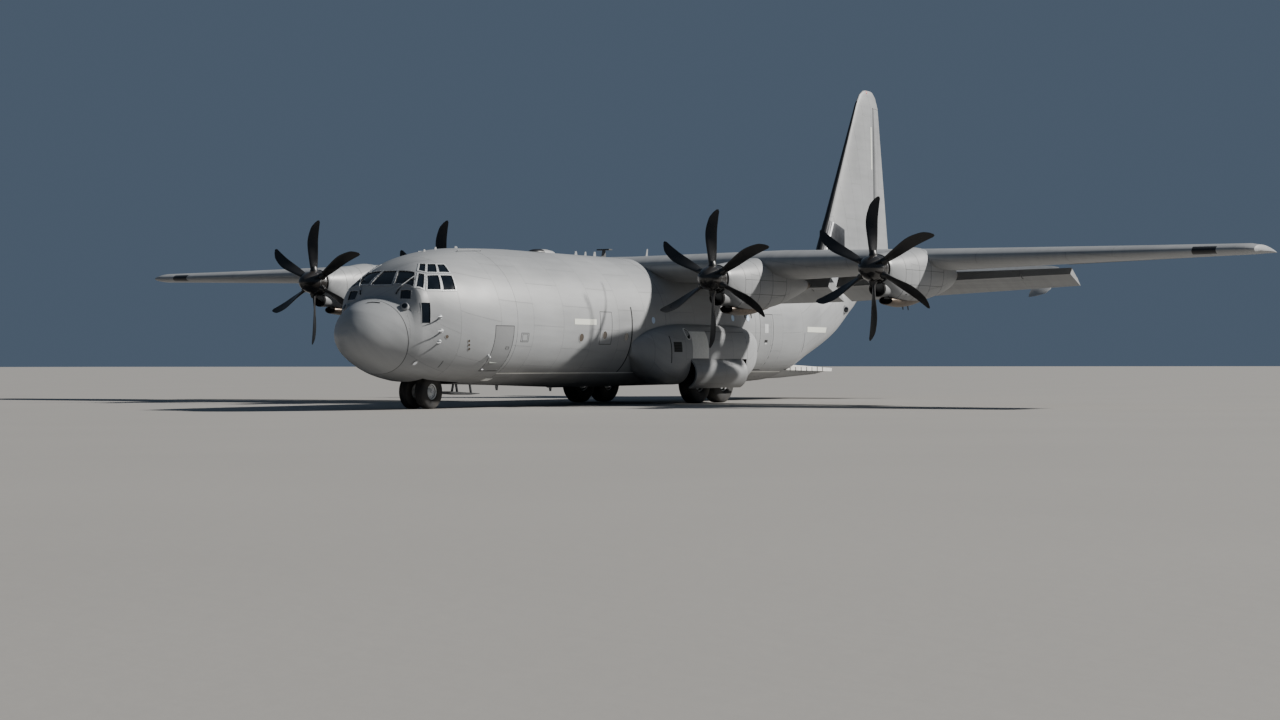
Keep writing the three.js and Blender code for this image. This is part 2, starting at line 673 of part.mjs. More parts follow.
// Nose gear well.
const NOSE_WELL = { x: 690, y0: 2760, y1: 4450, roof: 1460, wall: 60 };

// Cargo opening in the upswept belly. The ramp closes its front and the cargo door its back.
const RAMP = { hingeY: 22500, hingeZ: 1000, endY: 26100, halfWidth: 1530, closed: 17, thickFloor: 1040 };
const CARGO_DOOR = { endY: 29250, halfWidthEnd: 1060, thick: 130, raised: 22 };
const OPENING_EDGE = 45;

const openingPlan = (grow) => [
  [-RAMP.halfWidth - grow, 22200],
  [RAMP.halfWidth + grow, 22200],
  [RAMP.halfWidth + grow, RAMP.endY],
  [CARGO_DOOR.halfWidthEnd + grow, CARGO_DOOR.endY + grow],
  [-CARGO_DOOR.halfWidthEnd - grow, CARGO_DOOR.endY + grow],
  [-RAMP.halfWidth - grow, RAMP.endY],
];

// Height of the opening's rim above a station.
const rimHeight = (y) => mix(RAMP.thickFloor, 3900, (y - RAMP.hingeY) / (CARGO_DOOR.endY - RAMP.hingeY));

function cargoOpening() {
  const from = RAMP.hingeY - 10;
  const under = sideCut(
    [[from, 0], [31000, 0], [31000, rimHeight(31000) + 300], [from, rimHeight(from) + 300]], -3000, 3000);
  return planCut(openingPlan(OPENING_EDGE), 0, 6000).intersect(under);
}

const clearOfWing = joinAll([wingBetween(0, HALF_SPAN, SEAT_GAP), mirrored(wingBetween(0, HALF_SPAN, SEAT_GAP))]);
const wingRoof = box([-2300, 2300], [13900, 18500], [4150, 5200]);

function fuselageShells() {
  const shell = outerHull.subtract(innerHull);
  addPiece("radome", outerHull.intersect(aheadOfJoint(-SEAT_GAP / 2)), radomePaint);

  const wellHole = box([-NOSE_WELL.x, NOSE_WELL.x], [NOSE_WELL.y0, NOSE_WELL.y1], [0, NOSE_WELL.roof]);
  const cockpit = cutAll(between(shell, 0, COCKPIT_JOINT), [
    aheadOfJoint(SEAT_GAP / 2), windowCutters(0), doorway(CREW_DOOR, PLAY), wellHole,
  ]);
  const door = shell.intersect(doorway(CREW_DOOR, 0));
  const crew = crewHinges().reduce((parts, hinge) => {
    const joined = { fixed: parts.fixed.add(hinge.lug), moving: parts.moving.add(hinge.knuckle) };
    return pinned(joined, ...hinge.pin, CREW_HINGE.pin);
  }, { fixed: cockpit, moving: door });
  addPiece("cockpit_shell", crew.fixed, greyPaint);

  addPiece("forward_fuselage", joinAll([between(shell, COCKPIT_JOINT, FRONT_SPAR_JOINT), aerials("forward")]), greyPaint);

  const centre = between(shell, FRONT_SPAR_JOINT, REAR_SPAR_JOINT);
  addPiece("centre_fuselage", cutAll(centre, [clearOfWing, wingRoof]), greyPaint);

  const troopDoors = doorway(TROOP_DOOR, SEAT_GAP);
  const aft = between(shell, REAR_SPAR_JOINT, TAIL_JOINT);
  const openAft = cutAll(aft, [troopDoors, mirrored(troopDoors), cargoOpening()]);
  addPiece("aft_fuselage", openAft.add(doorHinge().fixed), greyPaint);
  addPair("troop_door", shell.intersect(doorway(TROOP_DOOR, 0)), greyPaint);

  const coneCore = loft(HULL.slice(TAIL_CORE.from, TAIL_CORE.to).map((section) => hullRing(section, SKIN, LINING_STEPS)));
  const cone = between(outerHull, TAIL_JOINT, NOSE_TIP + LENGTH + 10);
  addPiece("tail_cone", cone.subtract(coneCore.intersect(slab(TAIL_JOINT - 100, TAIL_CORE.end))), greyPaint);
  addPiece("crew_door", crew.moving, greyPaint);
}

function cockpitGlass() {
  const pane = innerLoft(25).subtract(innerLoft(SKIN + 10)).intersect(windowCutters(PANE_GAP));
  const region = box(GLAZED.x, GLAZED.y, GLAZED.z);
  const backing = innerLoft(SKIN + SEAT_GAP).subtract(innerLoft(SKIN + 22)).intersect(region);
  addPiece("cockpit_glass", joinAll([backing, pane]), tintedGlass);
}

function cabinInside() {
  const floor = box([-BIG, BIG], [COCKPIT_JOINT + 1, RAMP.hingeY - 30], [FLOOR_TOP - FLOOR_THICK, FLOOR_TOP]);
  addPiece("cargo_floor", insideSkin.intersect(floor).add(rampHinge().fixed), floorGrey);

  const wall = box([-BIG, BIG], [COCKPIT_JOINT + 1, COCKPIT_JOINT + 81], [FLOOR_TOP + SEAT_GAP, BIG]);
  const doorHole = box([640, 1240], [COCKPIT_JOINT - 100, COCKPIT_JOINT + 200], [FLOOR_TOP - 10, 2900]);
  addPiece("cockpit_bulkhead", insideSkin.intersect(wall).subtract(doorHole), cabinGrey);

  const deck = box([-BIG, BIG], [1900, COCKPIT_JOINT - 40], [DECK_TOP - 100, DECK_TOP]);
  const stairWell = box([600, BIG], [4150, BIG], [0, BIG]);
  addPiece("flight_deck", insideSkin.intersect(deck).subtract(stairWell), cabinGrey);

  const well = box([-NOSE_WELL.x - NOSE_WELL.wall, NOSE_WELL.x + NOSE_WELL.wall],
    [NOSE_WELL.y0 - NOSE_WELL.wall, NOSE_WELL.y1 + NOSE_WELL.wall], [0, NOSE_WELL.roof + NOSE_WELL.wall]);
  const hollow = box([-NOSE_WELL.x, NOSE_WELL.x], [NOSE_WELL.y0, NOSE_WELL.y1], [-10, NOSE_WELL.roof]);
  addPiece("nose_gear_well", insideSkin.intersect(well).subtract(hollow), gearWhite);
}

// Flight deck furniture

const DECK_TOP = 2250;
const SEAT_X = 560;

function flightDeckFurniture() {
  const dashboard = sideCut([[2020, DECK_TOP + SEAT_GAP], [2420, DECK_TOP + SEAT_GAP], [2420, 3060], [2480, 3120],
    [2480, 3160], [2020, 3160]], -1000, 1000);
  const yokes = [-SEAT_X, SEAT_X].flatMap((x) => [
    bar([x, 2400, 2860], [x, 2700, 2900], 25),
    bar([x - 170, 2700, 2940], [x + 170, 2700, 2940], 22),
  ]);
  const pedestal = box([-190, 190], [2300, 3100], [DECK_TOP + SEAT_GAP, 2880]);
  addPiece("instrument_panel", joinAll([dashboard, pedestal, ...yokes]), cabinGrey);

  const seat = joinAll([
    box([SEAT_X - 200, SEAT_X + 200], [2980, 3420], [DECK_TOP + SEAT_GAP, 2560]),
    box([SEAT_X - 250, SEAT_X + 250], [2900, 3480], [2540, 2680]),
    sideCut([[3340, 2600], [3480, 2600], [3600, 3380], [3480, 3400]], SEAT_X - 250, SEAT_X + 250),
    sideCut([[3470, 3360], [3590, 3350], [3620, 3560], [3520, 3570]], SEAT_X - 150, SEAT_X + 150),
  ]);
  addPair("pilot_seat", seat, cabinGrey);
}

// Ramp and cargo door, first made closed, as part of the hull, then swung to where they stand.

function rampAndDoor() {
  const rise = Math.tan(THREE.MathUtils.degToRad(RAMP.closed));
  const floorAt = (y) => RAMP.thickFloor + (y - RAMP.hingeY) * rise;
  const front = RAMP.hingeY + PLAY;
  const end = RAMP.endY - PLAY;
  const chamfer = 300;
  const wedge = sideCut([[front, floorAt(front)], [front, RAMP.hingeZ - 5], [front + chamfer, 500],
    [end, 500], [end, floorAt(end)]], -RAMP.halfWidth, RAMP.halfWidth);
  const curb = (x0, x1) => sideCut([[front + 150, floorAt(front + 150) - 5], [end, floorAt(end) - 60],
    [end, floorAt(end) + 60], [front + 600, floorAt(front + 600) + 180]], x0, x1);
  const curbs = [curb(RAMP.halfWidth - 90, RAMP.halfWidth), curb(-RAMP.halfWidth, 90 - RAMP.halfWidth)];
  const hinge = rampHinge();
  const body = joinAll([wedge.intersect(outerHull), ...curbs]).subtract(hinge.recess);
  const ramp = body.add(hinge.moving).subtract(hinge.bore);
  const lowered = swing(ramp, [0, RAMP.hingeY, RAMP.hingeZ], [1, 0, 0], -RAMP.closed);
  addPiece("cargo_ramp", lowered, rampYellow);

  const plan = planCut([[-RAMP.halfWidth, RAMP.endY + PLAY], [RAMP.halfWidth, RAMP.endY + PLAY],
    [CARGO_DOOR.halfWidthEnd, CARGO_DOOR.endY], [-CARGO_DOOR.halfWidthEnd, CARGO_DOOR.endY]], 0, 6000);
  const doorSkin = outerHull.subtract(innerLoft(CARGO_DOOR.thick)).intersect(plan);
  const below = sideCut([[25000, 0], [31000, 0], [31000, rimHeight(31000) + 100], [25000, rimHeight(25000) + 100]],
    -3000, 3000);
  const lugs = doorHinge();
  const closedDoor = doorSkin.intersect(below).add(lugs.moving).subtract(lugs.bore);
  const raised = swing(closedDoor, cargoHinge, [1, 0, 0], -CARGO_DOOR.raised);
  addPiece("cargo_door", raised, greyPaint);
}

const cargoHinge = [0, CARGO_DOOR.endY - 10, 3730];

// Hinge lugs of the ramp, on the end of the cargo floor, and of the door, on the bulkhead behind.
const RAMP_LUG = { x: 900, half: 30, cheek: [35, 75], radius: 22, cheekRadius: 25, pin: 12 };
const DOOR_LUG = { x: 600, half: 30, cheek: [35, 75], pin: 20 };

const onBothSides = (solid) => joinAll([solid, mirrored(solid)]);

function rampHinge() {
  const { x, half, cheek, radius, cheekRadius, pin } = RAMP_LUG;
  const [y, z] = [RAMP.hingeY, RAMP.hingeZ];
  const across = (x0, x1, r) => bar([x0, y, z], [x1, y, z], r, r, PIN_STEPS);
  const cheeks = [[x - cheek[1], x - cheek[0]], [x + cheek[0], x + cheek[1]]].map((sides) =>
    joinAll([across(...sides, cheekRadius), box(sides, [RAMP.hingeY - 40, y], [z - cheekRadius, z + cheekRadius])]));
  return {
    fixed: onBothSides(joinAll([...cheeks, across(x - cheek[1], x + cheek[1], pin)])),
    recess: onBothSides(across(x - cheek[1] - PLAY, x + cheek[1] + PLAY, cheekRadius + 2 * PLAY)),
    moving: onBothSides(joinAll([
      across(x - half, x + half, radius),
      box([x - half, x + half], [y, y + 60], [z - 18, z + 14]),
    ])),
    bore: onBothSides(across(x - half - 1, x + half + 1, boreRadius(pin))),
  };
}

function doorHinge() {
  const { x, half, cheek, pin } = DOOR_LUG;
  const [, y, z] = cargoHinge;
  const wall = TAIL_JOINT - 110;
  const arm = [[wall, z - 60], [wall, z + 50], [y - 30, z + 40], [y - 40, z - 30], [y, z - 40]];
  const lug = [[y - 130, z - 270], [y - 10, z - 250], [y + 32, z], [y, z + 34], [y - 45, z]];
  return {
    fixed: onBothSides(joinAll([
      sideCut(arm, x - cheek[1], x - cheek[0]),
      sideCut(arm, x + cheek[0], x + cheek[1]),
      bar([x - cheek[1], y, z], [x + cheek[1], y, z], pin),
    ])),
    moving: onBothSides(sideCut(lug, x - half, x + half)),
    bore: onBothSides(bar([x - half - 1, y, z], [x + half + 1, y, z], boreRadius(pin))),
  };
}

// Wings

function wings() {
  const inner = wingBetween(0, WING_BREAK - SEAT_GAP / 2);
  const roof = outerHull.intersect(
    box([-2300, 2300], [13900 + SEAT_GAP, 18500 - SEAT_GAP], [4150 + SEAT_GAP, 5200]));
  const cutInner = joinAll([inner.subtract(flapCut(FLAP_PANELS[0])), ...flapTracks(FLAP_PANELS[0])]);
  addPiece("centre_wing", joinAll([cutInner, mirrored(cutInner), roof, aerials("wing")]), greyPaint);

  const outer = wingBetween(WING_BREAK + SEAT_GAP / 2, HALF_SPAN).subtract(flapCut(FLAP_PANELS[1]));
  const { moving, fixed } = aileronParts(joinAll([outer, ...flapTracks(FLAP_PANELS[1])]));
  addPair("outer_wing", fixed, greyPaint);
  addPair("aileron", moving, greyPaint);
  for (const panel of FLAP_PANELS) addPair(panel[0], flapSolid(panel), greyPaint);
}

// Tail surfaces

function tail() {
  const rudder = rudderParts();
  addPiece("fin", rudder.fixed, greyPaint);
  addPiece("rudder", rudder.moving, greyPaint);
  const elevator = elevatorParts();
  addPair("tailplane", elevator.fixed, greyPaint);
  const raised = swing(elevator.moving, [0, ELEVATOR.hingeY, ELEVATOR.height], [1, 0, 0], ELEVATOR.up);
  addPair("elevator", raised, greyPaint);
}

// Engines
// Each nacelle's heights are counted from its propeller's hub.

const PROP_PLANE = 11410;
const COWL_FRONT = 11660;
const ENGINES = [
  // x, hub height, tail station
  [4930, 3770, 17300],
  [10160, 3950, 16900],
];
const COWL = [
  // y, top, bottom, side, mid, upper power, lower power
  [COWL_FRONT, 430, -450, 430, 0, 2, 2],
  [11900, 460, -600, 460, 0, 2, 2.2],
  [12500, 540, -860, 540, -100, 2.2, 2.4],
  [13300, 620, -920, 600, -100, 2.3, 2.5],
  [14100, 720, -880, 610, -50, 2.4, 2.5],
  [15000, 600, -750, 610, 0, 2.4, 2.5],
  [16000, 420, -530, 530, 0, 2.3, 2.4],
];
const COWL_TAIL = [0, 100, -180, 260, 0, 2, 2.2];
const INTAKE = { drop: 560, radius: 265, bore: 215, front: 11640, depth: 420 };
const OIL_SCOOP = [
  // y, drop of the centre, half height, half width
  [12240, 890, 120, 220],
  [12850, 890, 170, 255],
  [13600, 830, 200, 270],
  [14700, 690, 160, 200],
];
const SHAFT = { radius: 120, play: 8, front: 11330, flange: 260 };

const ovalRing = (x, y, z, halfWidth, halfHeight, steps = 12) =>
  Array.from({ length: steps }, (_, i) => {
    const angle = (2 * Math.PI * i) / steps;
    return [x + halfWidth * Math.cos(angle), y, z + halfHeight * Math.sin(angle)];
  });

function nacelle([x, hub, tailY]) {
  const raise = ([y, top, bottom, side, mid, upper, lower], at = y) =>
    hullRing([at, hub + top, hub + bottom, side, hub + mid, upper, lower], 0, COWL_STEPS, x);
  const cowl = loft([...COWL.map((row) => raise(row)), raise(COWL_TAIL, tailY)]);
  const duct = loft([
    ovalRing(x, INTAKE.front, hub - INTAKE.drop, INTAKE.radius, INTAKE.radius * 0.9),
    ovalRing(x, 12900, hub - INTAKE.drop, INTAKE.radius, INTAKE.radius * 0.8),
  ]);
  const mouth = bar([x, INTAKE.front - 100, hub - INTAKE.drop],
    [x, INTAKE.front + INTAKE.depth, hub - INTAKE.drop], INTAKE.bore, INTAKE.bore * 0.8);
  const scoop = loft(OIL_SCOOP.map(([y, drop, high, wide]) => ovalRing(x, y, hub - drop, wide, high)));
  const backPlate = PROP_PLANE + SPINNER[SPINNER.length - 1][0];
  const shaft = bar([x, SHAFT.front, hub], [x, COWL_FRONT + 50, hub], SHAFT.radius)
    .add(bar([x, backPlate + SEAT_GAP, hub], [x, COWL_FRONT + 50, hub], SHAFT.flange));
  return cutAll(joinAll([cowl, duct, scoop]), [mouth, clearOfWing]).add(shaft);
}

const BLADES = 6;
const BLADE_STEPS = 6; // points round a blade
const BLADE = [
  // radius, chord, thickness, pitch degrees, sweep back
  [300, 200, 130, 62, 0],
  [750, 300, 70, 50, -20],
  [1300, 350, 38, 36, -45],
  [1800, 280, 20, 29, 30],
  [2055, 110, 10, 26, 150],
];
const SPINNER_STEPS = 14; // points round the spinner
const SPINNER = [
  // distance aft of the propeller's plane, radius
  [-670, 0], [-640, 104], [-540, 210], [-340, 314], [-40, 384], [200, 400],
];

function bladeRing([radius, chord, thickness, pitch, sweep]) {
  const turn = THREE.MathUtils.degToRad(pitch);
  const ring = [];
  for (let i = 0; i < BLADE_STEPS; i++) {
    const angle = (2 * Math.PI * i) / BLADE_STEPS;
    const along = (chord / 2) * Math.cos(angle) + sweep;
    const across = (thickness / 2) * Math.sin(angle);
    ring.push([along * Math.cos(turn) - across * Math.sin(turn),
      along * Math.sin(turn) + across * Math.cos(turn), radius]);
  }
  return ring;
}

function propeller([x, hub]) {
  const blade = toGeometry(loft(BLADE.map(bladeRing)));
  const blades = Array.from({ length: BLADES }, (_, i) =>
    toSolid(blade.clone().rotateY((2 * Math.PI * i) / BLADES).translate(x, PROP_PLANE, hub)));
  const backPlate = SPINNER[SPINNER.length - 1][0];
  const spinner = turned([...SPINNER, [backPlate, 0]], "y", [x, PROP_PLANE, hub], SPINNER_STEPS);
  const bore = bar([x, SHAFT.front - PLAY, hub], [x, COWL_FRONT, hub], SHAFT.radius + SHAFT.play);
  return joinAll([spinner, ...blades]).subtract(bore);
}

function engines() {
  const places = [
    // number from the left wing tip, engine row, side
    [1, ENGINES[1], 1],
    [2, ENGINES[0], 1],
    [3, ENGINES[0], -1],
    [4, ENGINES[1], -1],
  ];
  for (const [number, [x, hub, tailY], side] of places) {
    addPiece(`nacelle_${number}`, nacelleOn([x, hub, tailY], side), greyPaint);
    addPiece(`propeller_${number}`, propeller([x * side, hub]), bladeBlack);
  }
}

const nacelleOn = (row, side) => (side > 0 ? nacelle(row) : mirrored(nacelle(row)));

// Main landing gear

const WHEEL_TRACK = 2175;
const WHEEL_STATIONS = [15150, 16690];
const MAIN_WHEEL = { radius: 690, half: 255, axle: 60, collar: 110, height: 690 };
const WHEEL_STEPS = 16; // points round a wheel
const HUB_SHARE = 0.62; // half width of a wheel's hub as a share of its tyre's
const SPONSON = [
  // y, half width, top, bottom
  [10950, 120, 2060, 1560],
  [11500, 380, 2260, 1250],
  [12400, 640, 2430, 800],
  [13300, 740, 2500, 600],
  [17700, 740, 2500, 600],
  [18600, 560, 2360, 900],
  [19250, 250, 2150, 1400],
];
const SPONSON_X = 1990;
const BAY = { x0: 1500, x1: 2570, y0: 14150, y1: 17600, roof: 1640, doorTop: 1400 };
const GEAR_DOOR = { x: 2390, z: 960, radius: 540, thick: 50, y0: 13990, y1: 17310, spread: 62 };
const STRUT = { x: 1770, radius: 85, beamLow: 820, beamHigh: 960 };

function sponson() {
  const body = loft(SPONSON.map(([y, half, top, bottom]) => {
    const mid = (top + bottom) / 2;
    return hullRing([y, top, bottom, half, mid, 2.6, 2.6], 0, COWL_STEPS, SPONSON_X);
  }));
  const bay = box([BAY.x0, BAY.x1], [BAY.y0, BAY.y1], [0, BAY.roof]);
  const doorSpace = box([BAY.x0, 3200], [BAY.y0 - 170, BAY.y1], [0, BAY.doorTop]);
  return cutAll(body, [clearOfHull, bay, doorSpace]);
}

function gearDoor() {
  const shape = new THREE.Shape();
  const spread = THREE.MathUtils.degToRad(GEAR_DOOR.spread);
  shape.absarc(GEAR_DOOR.x, GEAR_DOOR.z, GEAR_DOOR.radius, -spread, spread, false);
  shape.absarc(GEAR_DOOR.x, GEAR_DOOR.z, GEAR_DOOR.radius - GEAR_DOOR.thick, spread, -spread, true);
  const below = box([0, 4000], [0, 30000], [0, BAY.doorTop - SEAT_GAP]);
  return frontCut(shape, GEAR_DOOR.y0, GEAR_DOOR.y1).intersect(below);
}

function mainGearLegs() {
  const [front, back] = WHEEL_STATIONS;
  const struts = WHEEL_STATIONS.flatMap((y) => [
    bar([STRUT.x, y, MAIN_WHEEL.height - 90], [STRUT.x, y, 2000], STRUT.radius),
    bar([STRUT.x, y, MAIN_WHEEL.height], [WHEEL_TRACK + 230, y, MAIN_WHEEL.height], MAIN_WHEEL.axle),
    bar([STRUT.x, y, MAIN_WHEEL.height],
      [WHEEL_TRACK - MAIN_WHEEL.half * HUB_SHARE - SEAT_GAP, y, MAIN_WHEEL.height], MAIN_WHEEL.collar),
  ]);
  const beam = box([STRUT.x - 55, STRUT.x + 55], [front, back], [STRUT.beamLow, STRUT.beamHigh]);
  return joinAll([...struts, beam]).subtract(clearOfHull);
}

// Half of a wheel's profile from the bore to the middle of the tread: (half width, radius).
const wheelHalf = (radius, half, bore) => [
  [half * HUB_SHARE, bore],
  [half * HUB_SHARE, radius * 0.2],
  [half * 0.4, radius * 0.26],
  [half * 0.84, radius * 0.42],
  [half, radius * 0.66],
  [half * 0.85, radius * 0.92],
  [half * 0.4, radius],
];

function wheel(centre, radius, half, bore, steps) {
  const side = wheelHalf(radius, half, bore);
  const profile = [...side, ...side.map(([a, r]) => [-a, r]).reverse(), side[0]];
  return turned(profile, "x", centre, steps);
}

function mainGear() {
  addPair("sponson", sponson(), greyPaint);
  addPair("gear_door", gearDoor(), greyPaint);
  addPair("main_gear_leg", mainGearLegs(), gearWhite);
  WHEEL_STATIONS.forEach((y, i) => {
    const name = i === 0 ? "front_main_wheel" : "rear_main_wheel";
    const { radius, half, axle, height } = MAIN_WHEEL;
    addPair(name, wheel([WHEEL_TRACK, y, height], radius, half, axle + 3, WHEEL_STEPS), darkRubber);
  });
}

// Nose landing gear

const NOSE_GEAR = {
  y: 3600,
  radius: 480,
  half: 165,
  wheelX: 270,
  axle: 50,
  collar: 82,
  piston: 75,
  pistonTop: 1240,
  sleeve: 115,
  sleeveBottom: 1000,
};

// The door behind the wheels hangs level under the belly, on two pairs of arms.
const NOSE_DOOR = {
  plate: [[4560, 440], [4900, 400], [5500, 370], [5980, 395], [5980, 410], [5500, 435], [4560, 480]],
  half: 330,
  arms: [[4700, 4800], [5640, 5560]],
  armX: 240,
  armHalf: 20,
};

function noseGear() {
  const { y, radius, axle } = NOSE_GEAR;
  const { pistonTop, sleeveBottom } = NOSE_GEAR;
  const sleeve = bar([0, y, sleeveBottom], [0, y, NOSE_WELL.roof - SEAT_GAP], NOSE_GEAR.sleeve)
    .subtract(bar([0, y, sleeveBottom - 100], [0, y, pistonTop + SEAT_GAP], NOSE_GEAR.piston + 3));
  addPiece("nose_gear_leg", sleeve, gearWhite);
  const collarEnd = NOSE_GEAR.wheelX - NOSE_GEAR.half * HUB_SHARE - SEAT_GAP;
  const fork = joinAll([
    bar([0, y, radius - 70], [0, y, pistonTop], NOSE_GEAR.piston),
    bar([-collarEnd, y, radius], [collarEnd, y, radius], NOSE_GEAR.collar),
    bar([-NOSE_GEAR.wheelX - 140, y, radius], [NOSE_GEAR.wheelX + 140, y, radius], axle),
  ]);
  addPiece("nose_gear_fork", fork, steel);
  addPair("nose_wheel", wheel([NOSE_GEAR.wheelX, y, radius], radius, NOSE_GEAR.half, axle + 3, WHEEL_STEPS), darkRubber);

  const { plate, half, arms, armX, armHalf } = NOSE_DOOR;
  const links = arms.flatMap(([low, high]) => [-armX, armX].map((x) =>
    sideCut([[low, 420], [low + 60, 420], [high + 60, 760], [high, 760]], x - armHalf, x + armHalf)));
  addPiece("nose_gear_door", joinAll([sideCut(plate, -half, half), ...links]).subtract(clearOfHull), greyPaint);
}

// Roof fittings

function roofFittings() {
  const dome = loft([
    ovalRing(0, 9060, 4600, 60, 40), ovalRing(0, 9300, 4600, 210, 100), ovalRing(0, 9900, 4600, 210, 110),
    ovalRing(0, 10350, 4600, 60, 30),
  ]).subtract(clearOfHull);
  addPiece("roof_dome", dome, greyPaint);
}

fuselageShells();
cockpitGlass();
cabinInside();
flightDeckFurniture();
rampAndDoor();
wings();
tail();
engines();
mainGear();
noseGear();
roofFittings();

export default plane;
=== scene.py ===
"""Looks of a four-engined turboprop transport plane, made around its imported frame.

The tables hold sizes of the full-size machine in millimetres, as the part's source does: x is
positive towards the left wing, stations (y) count aft from just ahead of the nose, and heights
(z) count from the ground. place() brings them to the half-size model, in metres.
"""

import functools
import math

import bmesh
import bpy
import numpy as np
from mathutils import Matrix, Vector


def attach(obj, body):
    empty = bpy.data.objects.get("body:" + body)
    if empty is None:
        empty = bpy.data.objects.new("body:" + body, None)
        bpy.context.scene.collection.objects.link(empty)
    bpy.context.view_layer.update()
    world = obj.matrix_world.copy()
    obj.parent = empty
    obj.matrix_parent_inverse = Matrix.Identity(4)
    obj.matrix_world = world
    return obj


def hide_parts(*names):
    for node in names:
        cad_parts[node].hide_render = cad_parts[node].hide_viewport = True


bl_info = {
    "name": "Transport plane looks",
    "version": (1, 0, 0),
    "blender": (4, 5, 0),
    "location": "View3D > Sidebar > Plane",
    "description": "Skins, fittings and finishes of a turboprop transport plane",
    "category": "Object",
}

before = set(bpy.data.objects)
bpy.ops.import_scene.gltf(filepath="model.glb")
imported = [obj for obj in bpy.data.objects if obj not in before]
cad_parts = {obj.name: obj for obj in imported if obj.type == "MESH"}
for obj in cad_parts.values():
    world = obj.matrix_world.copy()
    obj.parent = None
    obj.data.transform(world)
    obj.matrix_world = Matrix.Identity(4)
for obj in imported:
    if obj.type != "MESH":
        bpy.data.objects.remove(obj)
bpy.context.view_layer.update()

SCALE = 0.0005
MIDDLE = 17385.0
FAR_AFT = 36000
UP = (0, 0, 1)
SIDES = ((1, "left"), (-1, "right"))


def place(points):
    """Full-size millimetres to metres on the model."""
    p = np.asarray(points, float)
    return np.stack([p[..., 0], p[..., 1] - MIDDLE, p[..., 2]], -1) * SCALE


def ring_angles(steps):
    return [2 * math.pi * i / steps for i in range(steps)]


# Settings


class PLANE_PG_finishes(bpy.types.PropertyGroup):
    """Colours and weathering."""

    paint: bpy.props.FloatVectorProperty(
        name="Paint", description="Grey of the skins", subtype="COLOR", size=3, default=(0.285, 0.295, 0.305))
    radome: bpy.props.FloatVectorProperty(
        name="Radome", description="Grey of the nose radome", subtype="COLOR", size=3,
        default=(0.30, 0.31, 0.32))
    boots: bpy.props.FloatVectorProperty(
        name="Boots", description="Rubber on leading edges", subtype="COLOR", size=3,
        default=(0.012, 0.013, 0.016))
    weathering: bpy.props.FloatProperty(
        name="Weathering", description="Strength of stains and streaks", subtype="FACTOR",
        min=0, max=1, default=0.5)
    panel_length: bpy.props.FloatProperty(
        name="Panel length", description="Spacing of the skin's joints along a piece", unit="LENGTH",
        default=0.76)
    panel_width: bpy.props.FloatProperty(
        name="Panel width", description="Width of a skin panel", unit="LENGTH", default=0.62)


class PLANE_PG_detail(bpy.types.PropertyGroup):
    """How finely the skins are made, and the sizes of repeated pieces."""

    hull_points: bpy.props.IntProperty(
        name="Hull points", description="Points round a fuselage section", min=24, default=96)
    cowl_points: bpy.props.IntProperty(
        name="Cowl points", description="Points round an engine cowl", min=16, default=56)
    wheel_points: bpy.props.IntProperty(
        name="Wheel points", description="Points round a wheel", min=24, default=72)
    bolt_radius: bpy.props.FloatProperty(
        name="Bolt radius", description="Radius of the window frames' bolts", unit="LENGTH", default=0.0042)
    rib_pitch: bpy.props.FloatProperty(
        name="Rib pitch", description="Spacing of the hold's ribs", unit="LENGTH", default=0.26)


class PLANE_PG_studio(bpy.types.PropertyGroup):
    """The floor and the light."""

    floor: bpy.props.FloatVectorProperty(
        name="Floor", description="Colour of the floor", subtype="COLOR", size=3, default=(0.29, 0.28, 0.265))
    sky: bpy.props.FloatVectorProperty(
        name="Surround", description="Colour of the soft light all round", subtype="COLOR", size=3,
        default=(0.50, 0.70, 1.0))
    key: bpy.props.FloatProperty(name="Key light", description="Strength of the main light", min=0, default=7.2)
    fill: bpy.props.FloatProperty(
        name="Fill light", description="Strength of the surround", min=0, default=0.15)


SETTINGS = {
    "plane_finishes": PLANE_PG_finishes,
    "plane_detail": PLANE_PG_detail,
    "plane_studio": PLANE_PG_studio,
}


def finishes():
    return bpy.context.scene.plane_finishes


def detail():
    return bpy.context.scene.plane_detail


# Materials


def add_node(tree, kind, inputs=None, **settings):
    """Adds a node, sets it up, and links or fills its inputs."""
    made = tree.nodes.new(kind)
    for key, value in settings.items():
        setattr(made, key, value)
    for key, value in (inputs or {}).items():
        if isinstance(value, bpy.types.NodeSocket):
            tree.links.new(value, made.inputs[key])
        else:
            made.inputs[key].default_value = value
    return made


